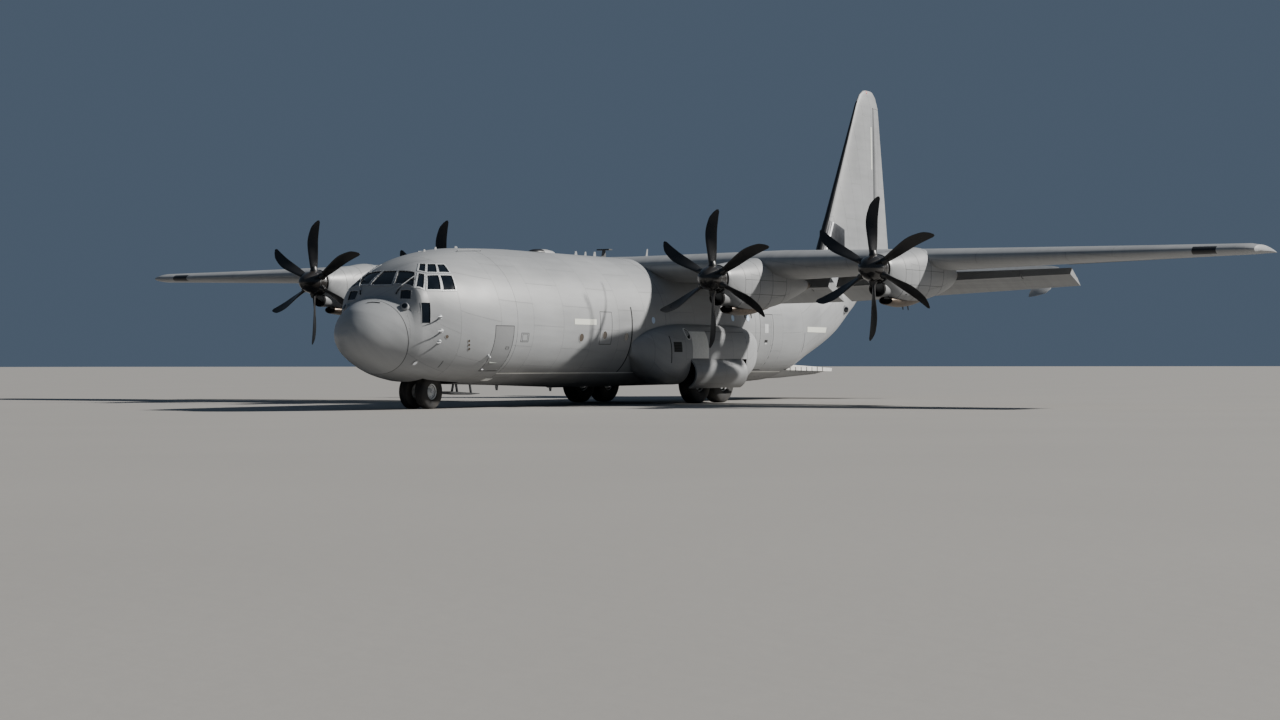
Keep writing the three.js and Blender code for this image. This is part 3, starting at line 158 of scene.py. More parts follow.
class Finish:
    """A material whose nodes are added one after another."""

    def __init__(self, name, colour, roughness, metallic=0.0, **sockets):
        self.material = bpy.data.materials.new(name)
        self.material.use_nodes = True
        self.tree = self.material.node_tree
        self.node = functools.partial(add_node, self.tree)
        self.shader = self.tree.nodes["Principled BSDF"]
        self.shader.inputs["Base Color"].default_value = (*colour, 1)
        self.shader.inputs["Roughness"].default_value = roughness
        self.shader.inputs["Metallic"].default_value = metallic
        for key, value in sockets.items():
            self.shader.inputs[key.replace("_", " ").title()].default_value = value

    def where(self, kind):
        """The skin's own map, or the object's coordinates."""
        if kind == "map":
            return self.node("ShaderNodeUVMap", uv_map="Skin").outputs["UV"]
        return self.node("ShaderNodeTexCoord").outputs["Object"]

    def noise(self, spot, scale, fine, stretch=None):
        if stretch:
            spot = self.node("ShaderNodeMapping", {"Vector": spot, "Scale": stretch}).outputs["Vector"]
        return self.node("ShaderNodeTexNoise", {"Vector": spot, "Scale": scale, "Detail": fine}).outputs["Fac"]

    def span(self, value, low, high, to_low=0.0, to_high=1.0):
        return self.node("ShaderNodeMapRange", {
            "Value": value, "From Min": low, "From Max": high, "To Min": to_low, "To Max": to_high,
        }).outputs["Result"]

    def sum(self, a, b):
        return self.node("ShaderNodeMath", {0: a, 1: b}, operation="ADD").outputs[0]

    def product(self, value, *factors):
        for factor in factors:
            value = self.node("ShaderNodeMath", {0: value, 1: factor}, operation="MULTIPLY").outputs[0]
        return value

    def tinted(self, colour, tone):
        """The colour, made lighter or darker by a tone near 1."""
        grey = self.node("ShaderNodeCombineColor", {"Red": tone, "Green": tone, "Blue": tone})
        return self.mixed(1.0, tuple(colour), grey.outputs["Color"], "MULTIPLY")

    def mixed(self, factor, a, b, kind="MIX"):
        a, b = ((*c, 1) if isinstance(c, tuple) else c for c in (a, b))
        return self.node("ShaderNodeMix", {0: factor, 6: a, 7: b}, data_type="RGBA", blend_type=kind).outputs[2]

    def bump(self, height, strength, distance, under=None):
        inputs = {"Height": height, "Strength": strength, "Distance": distance}
        if under is not None:
            inputs["Normal"] = under
        return self.node("ShaderNodeBump", inputs).outputs["Normal"]

    def use(self, colour=None, roughness=None, normal=None):
        for key, value in (("Base Color", colour), ("Roughness", roughness), ("Normal", normal)):
            if value is not None:
                self.tree.links.new(value, self.shader.inputs[key])
        return self.material


def shade(colour, factor):
    return tuple(min(1.0, c * factor) for c in colour)


def painted(name, colour, where="map", panels=None, roughness=0.46, soot_and_shade=None):
    """Weathered paint over riveted panels. The last argument gives the heights between which it
    darkens, how much, and how much later that starts for each metre aft of a station. On the belly this
    darkening is painted shade together with dirt; on the cowls it is soot."""
    look = Finish(name, colour, roughness)
    spot = look.where(where)
    worn = finishes().weathering
    mottle = look.noise(spot, 0.9, 6.0)
    streaks = look.noise(spot, 3.2, 5.0, (3.0, 0.35, 1.0))
    speck = look.noise(spot, 38.0, 3.0)
    length, width = panels or (finishes().panel_length, finishes().panel_width)

    def bricks(mortar, smooth):
        return look.node("ShaderNodeTexBrick", {
            "Vector": spot, "Color1": (0.44, 0.44, 0.44, 1), "Color2": (0.56, 0.56, 0.56, 1), "Scale": 1.0,
            "Mortar": (0.5, 0.5, 0.5, 1), "Mortar Size": mortar, "Mortar Smooth": smooth, "Bias": 0.0,
            "Brick Width": width, "Row Height": length,
        }, offset=0.5)

    lines = bricks(0.0016, 0.1)
    dirt = bricks(0.022, 1.0)
    tone = look.product(
        look.span(mottle, 0.3, 0.7, 1 - 0.14 * worn, 1 + 0.14 * worn),
        look.span(streaks, 0.35, 0.75, 1 + 0.08 * worn, 1 - 0.16 * worn),
        look.span(speck, 0.3, 0.7, 0.985, 1.015),
        look.span(lines.outputs["Color"], 0.4, 0.6, 0.955, 1.045),
        look.span(dirt.outputs["Fac"], 0, 1, 1.0, 1 - 0.12 * worn),
        look.span(lines.outputs["Fac"], 0, 1, 1.0, 0.62))
    mixed = look.tinted(colour, tone)
    # Darkening towards the bottom, to a near-black brown: on the belly painted shade together with dirt, on the
    # cowls soot.
    if soot_and_shade:
        unmarked, darkest, much, slope, front = soot_and_shade
        at = look.node("ShaderNodeSeparateXYZ", {"Vector": look.where("object")})
        height = look.sum(at.outputs["Z"], look.product(look.sum(at.outputs["Y"], -front), slope))
        wave = 0.6 * (unmarked - darkest)
        ragged = look.sum(height, look.span(look.noise(spot, 2.2, 5.0), 0, 1, -wave, wave))
        mixed = look.mixed(look.span(ragged, unmarked, darkest, 0.0, much), mixed, (0.024, 0.021, 0.019))
    dots = look.node("ShaderNodeTexVoronoi", {"Vector": spot, "Scale": 62.0, "Randomness": 0.0},
                     feature="F1").outputs["Distance"]
    heads = look.product(look.span(dots, 0.16, 0.3, 1.0, 0.0), look.span(dirt.outputs["Fac"], 0.25, 0.4))
    normal = look.bump(look.noise(spot, 2.4, 2.0), 0.10, 0.02)
    normal = look.bump(heads, 0.35, 0.0012, normal)
    normal = look.bump(look.span(lines.outputs["Fac"], 0, 1, 1.0, 0.0), 0.7, 0.002, normal)
    return look.use(mixed, look.span(mottle, 0.3, 0.7, roughness - 0.07, roughness + 0.09), normal)


def plain(name, colour, roughness, metallic=0.0, grain=40.0, vary=0.12, depth=0.0004, **sockets):
    """An even finish with a fine grain and a little wear."""
    look = Finish(name, colour, roughness, metallic, **sockets)
    spot = look.where("object")
    fine, broad = look.noise(spot, grain, 4.0), look.noise(spot, grain / 12, 5.0)
    wear = look.product(look.span(fine, 0.25, 0.75, 1 - vary / 2, 1 + vary / 2),
                        look.span(broad, 0.3, 0.7, 1 - vary, 1 + vary))
    rough = look.span(broad, 0.3, 0.7, max(0.02, roughness - 0.08), min(1.0, roughness + 0.1))
    return look.use(look.tinted(colour, wear), rough, look.bump(fine, 0.35, depth))


def glass(name, colour):
    """Dark or pale glass with faint smears."""
    look = Finish(name, colour, 0.06, coat_weight=0.3, coat_roughness=0.03)
    smear = look.noise(look.where("object"), 5.0, 4.0)
    return look.use(look.mixed(look.span(smear, 0.4, 0.8, 0.0, 0.35), tuple(colour), shade(colour, 2.6)),
                    look.span(smear, 0.3, 0.8, 0.04, 0.14), look.bump(smear, 0.04, 0.004))


def lamp(name, colour, glow):
    """Rippled lamp glass that glows a little."""
    look = Finish(name, colour, 0.25, emission_color=(*colour, 1), emission_strength=glow)
    ripple = look.noise(look.where("object"), 90.0, 2.0)
    tint = look.mixed(ripple, shade(colour, 0.85), tuple(colour))
    return look.use(tint, None, look.bump(ripple, 0.2, 0.001))


def quilted(name, colour):
    """Padded lining of the hold: squares sewn at their edges."""
    look = Finish(name, colour, 0.85)
    spot = look.where("object")
    cells = look.node("ShaderNodeTexBrick", {
        "Vector": spot, "Scale": 1.0, "Mortar Size": 0.012, "Mortar Smooth": 1.0,
        "Brick Width": 0.3, "Row Height": 0.26, "Color1": (0.5, 0.5, 0.5, 1), "Color2": (0.55, 0.55, 0.55, 1),
    }, offset=0.0)
    fine = look.noise(spot, 30.0, 5.0)
    stitch = cells.outputs["Fac"]
    tint = look.mixed(look.span(stitch, 0, 1, 0.0, 0.5), tuple(colour), shade(colour, 0.5))
    tint = look.mixed(look.span(fine, 0.3, 0.7, 0.0, 0.4), tint, shade(colour, 1.25))
    padding = look.bump(look.span(stitch, 0, 1, 1.0, 0.0), 0.6, 0.02, look.bump(fine, 0.3, 0.003))
    return look.use(tint, None, padding)


def tyre_rubber():
    """Black rubber with dust on it."""
    look = Finish("tyre_rubber", (0.018, 0.018, 0.019), 0.82)
    spot = look.where("object")
    dust = look.noise(spot, 6.0, 6.0)
    grain = look.noise(spot, 160.0, 3.0)
    unmarked, dusty = (0.016, 0.016, 0.017), (0.085, 0.078, 0.068)
    tint = look.mixed(look.span(dust, 0.42, 0.72, 0.0, 0.55), unmarked, dusty)
    return look.use(tint, look.span(dust, 0.3, 0.7, 0.72, 0.93), look.bump(grain, 0.4, 0.0006))


FINISH_MAKERS = {
    # The fuselage paint darkens on the belly: painted shade together with dirt.
    "paint": lambda: painted("aircraft_grey", finishes().paint, soot_and_shade=(0.56, 0.40, 0.45, 0.0, 0.0)),
    "door_paint": lambda: painted("door_grey", shade(finishes().paint, 0.70), "object", (3.0, 2.0)),
    "paint_plain": lambda: painted("aircraft_grey_fittings", finishes().paint, "object", (3.0, 2.0)),
    "radome": lambda: painted("radome_grey", finishes().radome, "map", (50.0, 50.0), 0.40),
    "wing": lambda: painted("wing_grey", finishes().paint, "map", (0.42, 1.35)),
    "cowl": lambda: painted("cowl_grey", finishes().paint, "map", (0.62, 0.7), 0.42,
                            (1.70, 1.42, 0.8, 0.5, -2.83)),
    "lining": lambda: quilted("hold_lining", (0.24, 0.26, 0.24)),
    "boot": lambda: plain("deicing_boot", finishes().boots, 0.42, grain=60),
    "spinner": lambda: plain("spinner_black", (0.016, 0.014, 0.013), 0.3, 0, 24, 0.3, 0.0002, coat_weight=0.4),
    "tyre": tyre_rubber,
    "glass": lambda: glass("cockpit_glass_dark", (0.004, 0.006, 0.009)),
    "porthole": lambda: glass("porthole_glass", (0.045, 0.034, 0.024)),
    # Pale blue: a painted sky reflection, so that the side windows show bright in shade.
    "sky_glass": lambda: glass("side_window_glass_painted_sky", (0.52, 0.68, 0.90)),
    "strip": lambda: lamp("formation_strip", (0.80, 0.82, 0.74), 0.05),
    "red_lamp": lambda: lamp("port_light_red", (0.65, 0.02, 0.015), 0.3),
    "green_lamp": lambda: lamp("starboard_light_green", (0.02, 0.45, 0.10), 0.3),
    "clear_lamp": lambda: lamp("landing_light_glass", (0.82, 0.84, 0.86), 0.2),
}
PLAIN_FINISHES = {
    # finish: material, colour, roughness, metallic, grain, wear, depth of the grain
    "blade": ("blade_black", (0.012, 0.012, 0.013), 0.33, 0, 50, 0.3, 0.0002),
    "rim": ("wheel_rim_grey", (0.60, 0.62, 0.63), 0.38, 0, 30, 0.2),
    "white": ("gear_enamel", (0.62, 0.64, 0.64), 0.4, 0, 26, 0.16),
    "steel": ("bare_steel", (0.42, 0.43, 0.45), 0.36, 1, 50, 0.2),
    "chrome": ("polished_oleo", (0.75, 0.76, 0.78), 0.12, 1, 70, 0.05),
    "burnt": ("heat_stained_steel", (0.115, 0.092, 0.074), 0.4, 0.8, 16, 0.7),
    "root_panel": ("root_panel_dark", (0.045, 0.048, 0.055), 0.34, 0.6, 16, 0.5),
    # Near-black: black rubber seams, and painted shade inside openings such as the intakes, scoops, vents,
    # outlets and wheel bays.
    "dark": ("black_seal_and_painted_recess_shade", (0.006, 0.006, 0.007), 0.85, 0, 30, 0.2),
    # Dark joints; on the cut faces in the gaps of the flaps, ailerons and elevators it is painted shade.
    "seam": ("seam_sealant_and_painted_gap_shade", (0.055, 0.058, 0.062), 0.7, 0, 80, 0.3),
    "pale": ("window_frame_grey", (0.52, 0.54, 0.55), 0.5, 0, 70, 0.12),
    # A pale panel whose paleness is partly painted sunlight; on the strake's front plate it is a painted glint.
    "light_panel": ("pale_panel_and_painted_light", (0.70, 0.71, 0.69), 0.45, 0, 24, 0.14),
    "cabin": ("cabin_grey", (0.075, 0.08, 0.085), 0.75, 0, 30, 0.25),
    "floor": ("antiskid_floor", (0.13, 0.135, 0.13), 0.8, 0, 120, 0.25, 0.001),
    "ramp": ("ramp_primer_yellow", (0.50, 0.46, 0.27), 0.62, 0, 26, 0.22),
    "ramp_side": ("ramp_side_white", (0.60, 0.60, 0.58), 0.5, 0, 26, 0.2),
    "webbing": ("seat_webbing_red", (0.22, 0.035, 0.025), 0.85, 0, 240, 0.3, 0.001),
}


@functools.cache
def finish(name):
    """The material of a name, made once."""
    return plain(*PLAIN_FINISHES[name]) if name in PLAIN_FINISHES else FINISH_MAKERS[name]()


# Forms


class Form:
    """Points in full-size millimetres, with faces that each have a finish number and a map."""

    def __init__(self):
        self.points, self.faces, self.slots, self.maps = [], [], [], []

    def add(self, points, faces, slot=0, maps=None):
        base = len(self.points)
        self.points.extend(tuple(map(float, p)) for p in points)
        for k, face in enumerate(faces):
            self.faces.append([base + int(i) for i in face])
            self.slots.append(slot if isinstance(slot, int) else slot[k])
            self.maps.append(None if maps is None else maps[k])
        return self

    def loft(self, rings, slot=0, ends=(True, True), travel=None, slot_of=None):
        """Joins closed rings of points. The map runs round the ring and along the piece."""
        rings = np.asarray(rings, float)
        count, steps, _ = rings.shape
        around = np.concatenate([rings, rings[:, :1]], 1)
        girth = np.cumsum(np.linalg.norm(np.diff(around, axis=1), axis=2), axis=1) * SCALE
        girth = np.concatenate([np.zeros((count, 1)), girth], 1)
        if travel is None:
            centres = rings.mean(1)
            travel = np.concatenate([[0], np.cumsum(np.linalg.norm(np.diff(centres, axis=0), axis=1))])
        travel = np.asarray(travel, float) * SCALE
        slot_of = slot_of or (lambda r, i: slot)
        faces, slots, maps = [], [], []
        for r in range(count - 1):
            for i in range(steps):
                n = (i + 1) % steps
                faces.append([r * steps + i, r * steps + n, (r + 1) * steps + n, (r + 1) * steps + i])
                slots.append(slot_of(r, i))
                maps.append([(girth[r, i], travel[r]), (girth[r, i + 1], travel[r]),
                             (girth[r + 1, i + 1], travel[r + 1]), (girth[r + 1, i], travel[r + 1])])
        for wanted, r in zip(ends, (0, count - 1)):
            if wanted:
                faces.append([r * steps + i for i in range(steps)])
                slots.append(slot_of(min(r, count - 2), 0))
                maps.append(None)
        return self.add(rings.reshape(-1, 3), faces, slots, maps)

    def hoop(self, rings, slot=0):
        """Joins rings into an endless loop, such as a frame round a window."""
        rings = list(rings)
        return self.loft([*rings, rings[0]], slot, (False, False))

    def slab(self, outer, inner, slot=0, edge=None):
        """A solid between two grids of points, the first being its outer face."""
        outer, inner = np.asarray(outer, float), np.asarray(inner, float)
        rows, cols, _ = outer.shape
        edge = slot if edge is None else edge
        cell = np.arange(rows * cols).reshape(rows, cols)
        offset = rows * cols
        faces, slots = [], []
        for r in range(rows - 1):
            for c in range(cols - 1):
                quad = [cell[r, c], cell[r, c + 1], cell[r + 1, c + 1], cell[r + 1, c]]
                faces += [quad, [offset + i for i in reversed(quad)]]
                slots += [slot, edge]
        border = [*cell[0], *cell[1:, -1], *cell[-1, -2::-1], *cell[-2:0:-1, 0]]
        for a, b in zip(border, border[1:] + border[:1]):
            faces.append([b, a, offset + a, offset + b])
            slots.append(edge)
        return self.add(np.concatenate([outer.reshape(-1, 3), inner.reshape(-1, 3)]), faces, slots)

    def box(self, x, y, z, slot=0):
        corners = [(a, b, c) for c in z for b in y for a in x]
        faces = [(0, 1, 3, 2), (4, 6, 7, 5), (0, 4, 5, 1), (2, 3, 7, 6), (0, 2, 6, 4), (1, 5, 7, 3)]
        return self.add(corners, faces, slot)

    def prism(self, outline, low, high, slot=0):
        """A plan outline made solid between heights, each a number or a rule of the station."""
        level = lambda h, y: h(y) if callable(h) else h
        rings = [[(x, y, level(h, y)) for x, y in outline] for h in (low, high)]
        return self.loft(rings, slot)

    def side(self, outline, x0, x1, slot=0):
        """An outline seen from the side, made solid between two widths."""
        return self.loft([[(x, y, z) for y, z in outline] for x in (x0, x1)], slot)

    def tube(self, path, radii, steps=16, slot=0):
        """A round bar along a path of points, with a radius at each."""
        path = [Vector(p) for p in path]
        radii = radii if hasattr(radii, "__len__") else [radii] * len(path)
        rings = []
        side = None
        for k, point in enumerate(path):
            before, after = path[max(0, k - 1)], path[min(len(path) - 1, k + 1)]
            along = (after - before).normalized()
            if side is None:
                side = along.cross(Vector(UP) if abs(along.z) < 0.9 else Vector((1, 0, 0))).normalized()
            side = (side - along * side.dot(along)).normalized()
            other = along.cross(side)
            rings.append([tuple(point + (side * math.cos(a) + other * math.sin(a)) * radii[k])
                          for a in ring_angles(steps)])
        return self.loft(rings, slot)

    def turned(self, profile, axis, centre, steps, slot=0, closed=True):
        """A turned piece of (distance along the axis, radius) points."""
        cx, cy, cz = centre
        rings = []
        for along, radius in profile:
            ring = []
            for a in ring_angles(steps):
                c, s = radius * math.cos(a), radius * math.sin(a)
                ring.append((cx + along, cy + c, cz + s) if axis == "x" else
                            (cx + c, cy + along, cz + s) if axis == "y" else (cx + c, cy + s, cz + along))
            rings.append(ring)
        if closed:
            rings.append(rings[0])
        return self.loft(rings, slot, (not closed, not closed))

    def mirrored(self):
        """The same form on the other side of the plane."""
        other = Form()
        other.points = [(-x, y, z) for x, y, z in self.points]
        other.faces = [list(reversed(face)) for face in self.faces]
        other.slots = list(self.slots)
        other.maps = [None if m is None else list(reversed(m)) for m in self.maps]
        return other

    def joined(self, other):
        base = len(self.points)
        self.points += other.points
        self.faces += [[base + i for i in face] for face in other.faces]
        self.slots += other.slots
        self.maps += other.maps
        return self

    def both(self):
        return self.joined(self.mirrored())

    def on(self, side):
        """The form itself for the left side, its mirror image for the right."""
        return self if side > 0 else self.mirrored()

    def map_turned(self):
        """Lays the map's rows along the span instead of along the stations."""
        self.maps = [None if m is None else [(v, u) for u, v in m] for m in self.maps]
        return self


def box_map(mesh):
    """Maps each face by its widest side, for pieces with no map of their own."""
    layer = mesh.uv_layers.get("Skin") or mesh.uv_layers.new(name="Skin")
    for face in mesh.polygons:
        n = [abs(c) for c in face.normal]
        a, b = ((1, 2) if n[0] >= max(n[1], n[2]) else (0, 2) if n[1] >= n[2] else (0, 1))
        for loop in face.loop_indices:
            co = mesh.vertices[mesh.loops[loop].vertex_index].co
            layer.data[loop].uv = (co[b], co[a]) if a != 0 else (co[a], co[b])


def linked(name, data):
    obj = bpy.data.objects.new(name, data)
    bpy.context.scene.collection.objects.link(obj)
    return obj


def edited(mesh, *steps):
    """Runs steps on a mesh's editable copy and writes it back."""
    copy = bmesh.new()
    copy.from_mesh(mesh)
    for step in steps:
        step(copy)
    copy.to_mesh(mesh)
    copy.free()


def weld(reach):
    return lambda mesh: bmesh.ops.remove_doubles(mesh, verts=mesh.verts, dist=reach)


def face_out(mesh):
    bmesh.ops.recalc_face_normals(mesh, faces=mesh.faces)


def dissolve_flat(mesh):
    bmesh.ops.dissolve_limit(mesh, angle_limit=math.radians(0.4), verts=mesh.verts, edges=mesh.edges)


def raw_object(name, form, finish_names):
    """An object of a form, still without a body."""
    mesh = bpy.data.meshes.new(name)
    mesh.from_pydata(place(form.points).tolist(), [], form.faces)
    for key in finish_names:
        mesh.materials.append(finish(key))
    mesh.polygons.foreach_set("material_index", form.slots)
    box_map(mesh)
    layer = mesh.uv_layers["Skin"]
    for face, corners in zip(mesh.polygons, form.maps):
        if corners is not None:
            for loop, uv in zip(face.loop_indices, corners):
                layer.data[loop].uv = uv
    edited(mesh, weld(2e-6), face_out)
    return linked(name, mesh)


DARK = ("dark",) * 3


def drop(obj):
    mesh = obj.data
    bpy.data.objects.remove(obj)
    bpy.data.meshes.remove(mesh)


def baked(obj):
    """Replaces an object's mesh by what its modifiers make of it."""
    graph = bpy.context.evaluated_depsgraph_get()
    result = bpy.data.meshes.new_from_object(
        obj.evaluated_get(graph), preserve_all_data_layers=True, depsgraph=graph)
    obj.modifiers.clear()
    old, obj.data = obj.data, result
    bpy.data.meshes.remove(old)
    return obj


def cut_by(obj, cutter, kind="DIFFERENCE"):
    """Cuts an object by another, which is used up."""
    change = obj.modifiers.new("cut", "BOOLEAN")
    change.operation, change.object, change.solver, change.material_mode = kind, cutter, "MANIFOLD", "INDEX"
    baked(obj)
    drop(cutter)


def carve(obj, forms, kind="DIFFERENCE"):
    """Cuts the forms from an object, or keeps what is inside them."""
    for form in forms:
        cut_by(obj, raw_object("cutter", form, DARK), kind)
    if not obj.data.polygons:
        raise RuntimeError(f"{obj.name} was cut away whole")
    return obj


def settle(obj, body="airframe", replaces=(), slot="grey_paint", angle=38):
    """Shades a piece, puts it on its body and hides the imported parts that it stands for."""
    obj.data.name = obj.name
    obj.data.shade_smooth()
    obj.data.set_sharp_from_angle(angle=math.radians(angle))
    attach(obj, body)
    if replaces:
        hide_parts(*replaces)
    return obj


def piece(name, form, finish_names, **settings):
    names = (finish_names,) if isinstance(finish_names, str) else finish_names
    return settle(raw_object(name, form, names), **settings)


def smooth_copy(node, name, finish_name, body, slot="grey_paint", angle=32):
    """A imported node's own shape with smooth shading, standing for the node."""
    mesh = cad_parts[node].data.copy()
    mesh.materials.clear()
    mesh.materials.append(finish(finish_name))
    mesh.polygons.foreach_set("material_index", [0] * len(mesh.polygons))
    edited(mesh, weld(2e-5), dissolve_flat)
    for old in [a.name for a in mesh.color_attributes]:
        mesh.color_attributes.remove(mesh.color_attributes[old])
    box_map(mesh)
    return settle(linked(name, mesh), body, (node,), slot, angle)


# Repeated pieces


def repeat_tree(name, kind, finish_name, sizes):
    """A node tree that puts one shape on every point, turned by the point's own "turn"."""
    tree = bpy.data.node_groups.new(name, "GeometryNodeTree")
    tree.is_modifier = True
    tree.interface.new_socket("Geometry", in_out="INPUT", socket_type="NodeSocketGeometry")
    for label, value in sizes.items():
        socket_type = "NodeSocketInt" if isinstance(value, int) else "NodeSocketFloat"
        tree.interface.new_socket(label, in_out="INPUT", socket_type=socket_type).default_value = value
    tree.interface.new_socket("Geometry", in_out="OUTPUT", socket_type="NodeSocketGeometry")
    node = functools.partial(add_node, tree)
    given = node("NodeGroupInput").outputs
    if kind == "round":
        shape = node("GeometryNodeMeshCone", {"Vertices": given["Sides"], "Radius Top": given["Tip radius"],
                                              "Radius Bottom": given["Radius"], "Depth": given["Height"]})
    else:
        size = node("ShaderNodeCombineXYZ", {"X": given["Width"], "Y": given["Depth"], "Z": given["Height"]})
        shape = node("GeometryNodeMeshCube", {"Size": size.outputs["Vector"]})
    turn = node("GeometryNodeInputNamedAttribute", {"Name": "turn"}, data_type="FLOAT_VECTOR")
    rotation = node("FunctionNodeEulerToRotation", {"Euler": turn.outputs["Attribute"]})
    put = node("GeometryNodeInstanceOnPoints", {"Points": given["Geometry"], "Instance": shape.outputs["Mesh"],
                                                "Rotation": rotation.outputs["Rotation"]})
    real = node("GeometryNodeRealizeInstances", {"Geometry": put.outputs["Instances"]})
    coat = node("GeometryNodeSetMaterial",
                {"Geometry": real.outputs["Geometry"], "Material": finish(finish_name)})
    node("NodeGroupOutput", {"Geometry": coat.outputs["Geometry"]})
    return tree


def repeated(name, spots, kind, sizes, finish_name, body="airframe", slot="grey_paint", angle=35):
    """One shape on each (point in millimetres, direction) of the spots, made by geometry nodes."""
    mesh = bpy.data.meshes.new(name)
    mesh.from_pydata(place([p for p, _ in spots]).tolist(), [], [])
    turns = mesh.attributes.new("turn", "FLOAT_VECTOR", "POINT")
    angles = []
    for _, facing in spots:
        angles.extend(Vector(facing).to_track_quat("Z", "Y").to_euler())
    turns.data.foreach_set("vector", angles)
    obj = linked(name, mesh)
    tree = repeat_tree(name, kind, finish_name, sizes)
    change = obj.modifiers.new("repeat", "NODES")
    change.node_group = tree
    for item in tree.interface.items_tree:
        if item.in_out == "INPUT" and item.name in sizes:
            change[item.identifier] = sizes[item.name]
    baked(obj)
    edited(obj.data, face_out)
    box_map(obj.data)
    return settle(obj, body, (), slot, angle)


def studs(name, spots, radius, height, finish_name, sides=10, tip=None, **settings):
    sizes = {"Sides": sides, "Radius": radius, "Tip radius": radius if tip is None else tip, "Height": height}
    return repeated(name, spots, "round", sizes, finish_name, **settings)


def blocks(name, spots, width, depth, height, finish_name, **settings):
    sizes = {"Width": width, "Depth": depth, "Height": height}
    return repeated(name, spots, "block", sizes, finish_name, **settings)


# Fuselage shape

HULL = [
    # y, top, bottom, side, mid, upper power, lower power
    [200, 2060, 1940, 60, 2000, 2, 2],
    [260, 2260, 1760, 250, 2010, 2, 2],
    [400, 2480, 1570, 455, 2025, 2, 2],
    [650, 2720, 1390, 690, 2050, 2, 2],
    [1150, 2940, 1150, 1000, 2080, 2.1, 2],
    [1620, 3080, 990, 1250, 2110, 2.5, 2.05],
    [1840, 3440, 930, 1370, 2150, 4.2, 2.1],
    [2080, 3670, 870, 1460, 2180, 3.3, 2.15],
    [2540, 3990, 790, 1640, 2230, 2.6, 2.2],
    [3020, 4200, 730, 1790, 2290, 2.35, 2.25],
    [3700, 4370, 700, 1950, 2350, 2.15, 2.3],
    [4600, 4500, 680, 2070, 2400, 2.05, 2.4],
    [6000, 4565, 655, 2140, 2430, 2, 2.4],
    [7600, 4600, 620, 2160, 2440, 2, 2.4],
    [11000, 4600, 545, 2160, 2440, 2, 2.4],
    [19300, 4600, 590, 2160, 2440, 2, 2.4],
    [22400, 4610, 660, 2150, 2450, 2, 2.5],
    [24200, 4620, 1250, 2060, 2760, 2, 2.7],
    [26200, 4650, 1960, 1880, 3180, 2, 2.8],
    [28000, 4700, 2880, 1600, 3700, 2, 2.7],
    [29500, 4750, 3480, 1290, 4080, 2, 2.4],
    [31000, 4810, 3940, 990, 4360, 2, 2.2],
    [33000, 4920, 4370, 610, 4640, 2, 2],
    [34400, 5000, 4690, 230, 4840, 2, 2],
    [34570, 4930, 4780, 90, 4855, 2, 2],
]
NOSE_TIP, COCKPIT_JOINT = 200, 5300
RADOME_JOINT = {"y": 1450, "z": 2100, "lean": -0.2}
FRONT_SPAR_JOINT, REAR_SPAR_JOINT, TAIL_JOINT, TAIL_END = 13400, 19300, 29500, 34570
SKIN = 100


def curve_through(table):
    """Smooth rows between a table's rows, without overshoot."""
    table = np.asarray(table, float)
    x, y = table[:, 0], table[:, 1:]
    h = np.diff(x)[:, None]
    d = np.diff(y, axis=0) / h
    m = np.zeros_like(y)
    w1, w2 = 2 * h[1:] + h[:-1], h[1:] + 2 * h[:-1]
    same = d[:-1] * d[1:] > 0
    left, right = np.where(same, d[:-1], 1), np.where(same, d[1:], 1)
    m[1:-1] = np.where(same, (w1 + w2) / (w1 / left + w2 / right), 0)
    m[0], m[-1] = d[0], d[-1]

    def row(at):
        at = min(max(at, x[0]), x[-1])
        i = min(int(np.searchsorted(x, at, side="right")) - 1, len(x) - 2)
        step = x[i + 1] - x[i]
        t = (at - x[i]) / step
        values = ((2 * t**3 - 3 * t**2 + 1) * y[i] + (t**3 - 2 * t**2 + t) * step * m[i]
                  + (3 * t**2 - 2 * t**3) * y[i + 1] + (t**3 - t**2) * step * m[i + 1])
        return [at, *values.tolist()]

    return row


hull_row = curve_through(HULL)


def section(row, inset, steps, x_centre=0.0):
    """A fuselage-like ring: an ellipse made squarer by its powers, from its lowest point round."""
    y, top, bottom, side, mid, upper, lower = row
    angle = -math.pi / 2 + 2 * math.pi * np.arange(steps) / steps
    c, s = np.cos(angle), np.sin(angle)
    power = np.where(s >= 0, upper, lower)
    height = np.where(s >= 0, top - mid, mid - bottom) - inset
    reach = (np.abs(c) ** power + np.abs(s) ** power) ** (-1 / power)
    return np.stack([x_centre + (side - inset) * c * reach, np.full(steps, y), mid + height * s * reach], -1)


def hull_ring(y, inset=0.0):
    return section(hull_row(y), inset, detail().hull_points)


def first_column(table):
    return [row[0] for row in table]


def stations(y0, y1, pitch, extra=()):
    """Even places between two ends, with the extra ones that lie inside."""
    count = max(2, int(round((y1 - y0) / pitch)) + 1)
    inside = [y for y in extra if y0 < y < y1]
    return sorted({*np.linspace(y0, y1, count).round(2).tolist(), *inside})


def upper_or_lower(row, z):
    """Power and height of the half of a section that a height is in."""
    _, top, bottom, _, mid, upper, lower = row
    return (upper, top - mid) if z >= mid else (lower, mid - bottom)


def half_width(row, z):
    """Half the width of a section at a height."""
    power, height = upper_or_lower(row, z)
    return row[3] * max(0.0, 1 - (abs(z - row[4]) / height) ** power) ** (1 / power)


def side_point(y, z, lift):
    """A point of the left side at a station and a height, on the skin or off it."""
    return (half_width(hull_row(y), z) + lift, y, z)


def hull_depth(x, y, z):
    """How far out a point is: 1 on the skin."""
    row = hull_row(y)
    side, mid = row[3:5]
    power, height = upper_or_lower(row, z)
    return ((abs(x) / side) ** power + (abs(z - mid) / height) ** power) ** (1 / power)


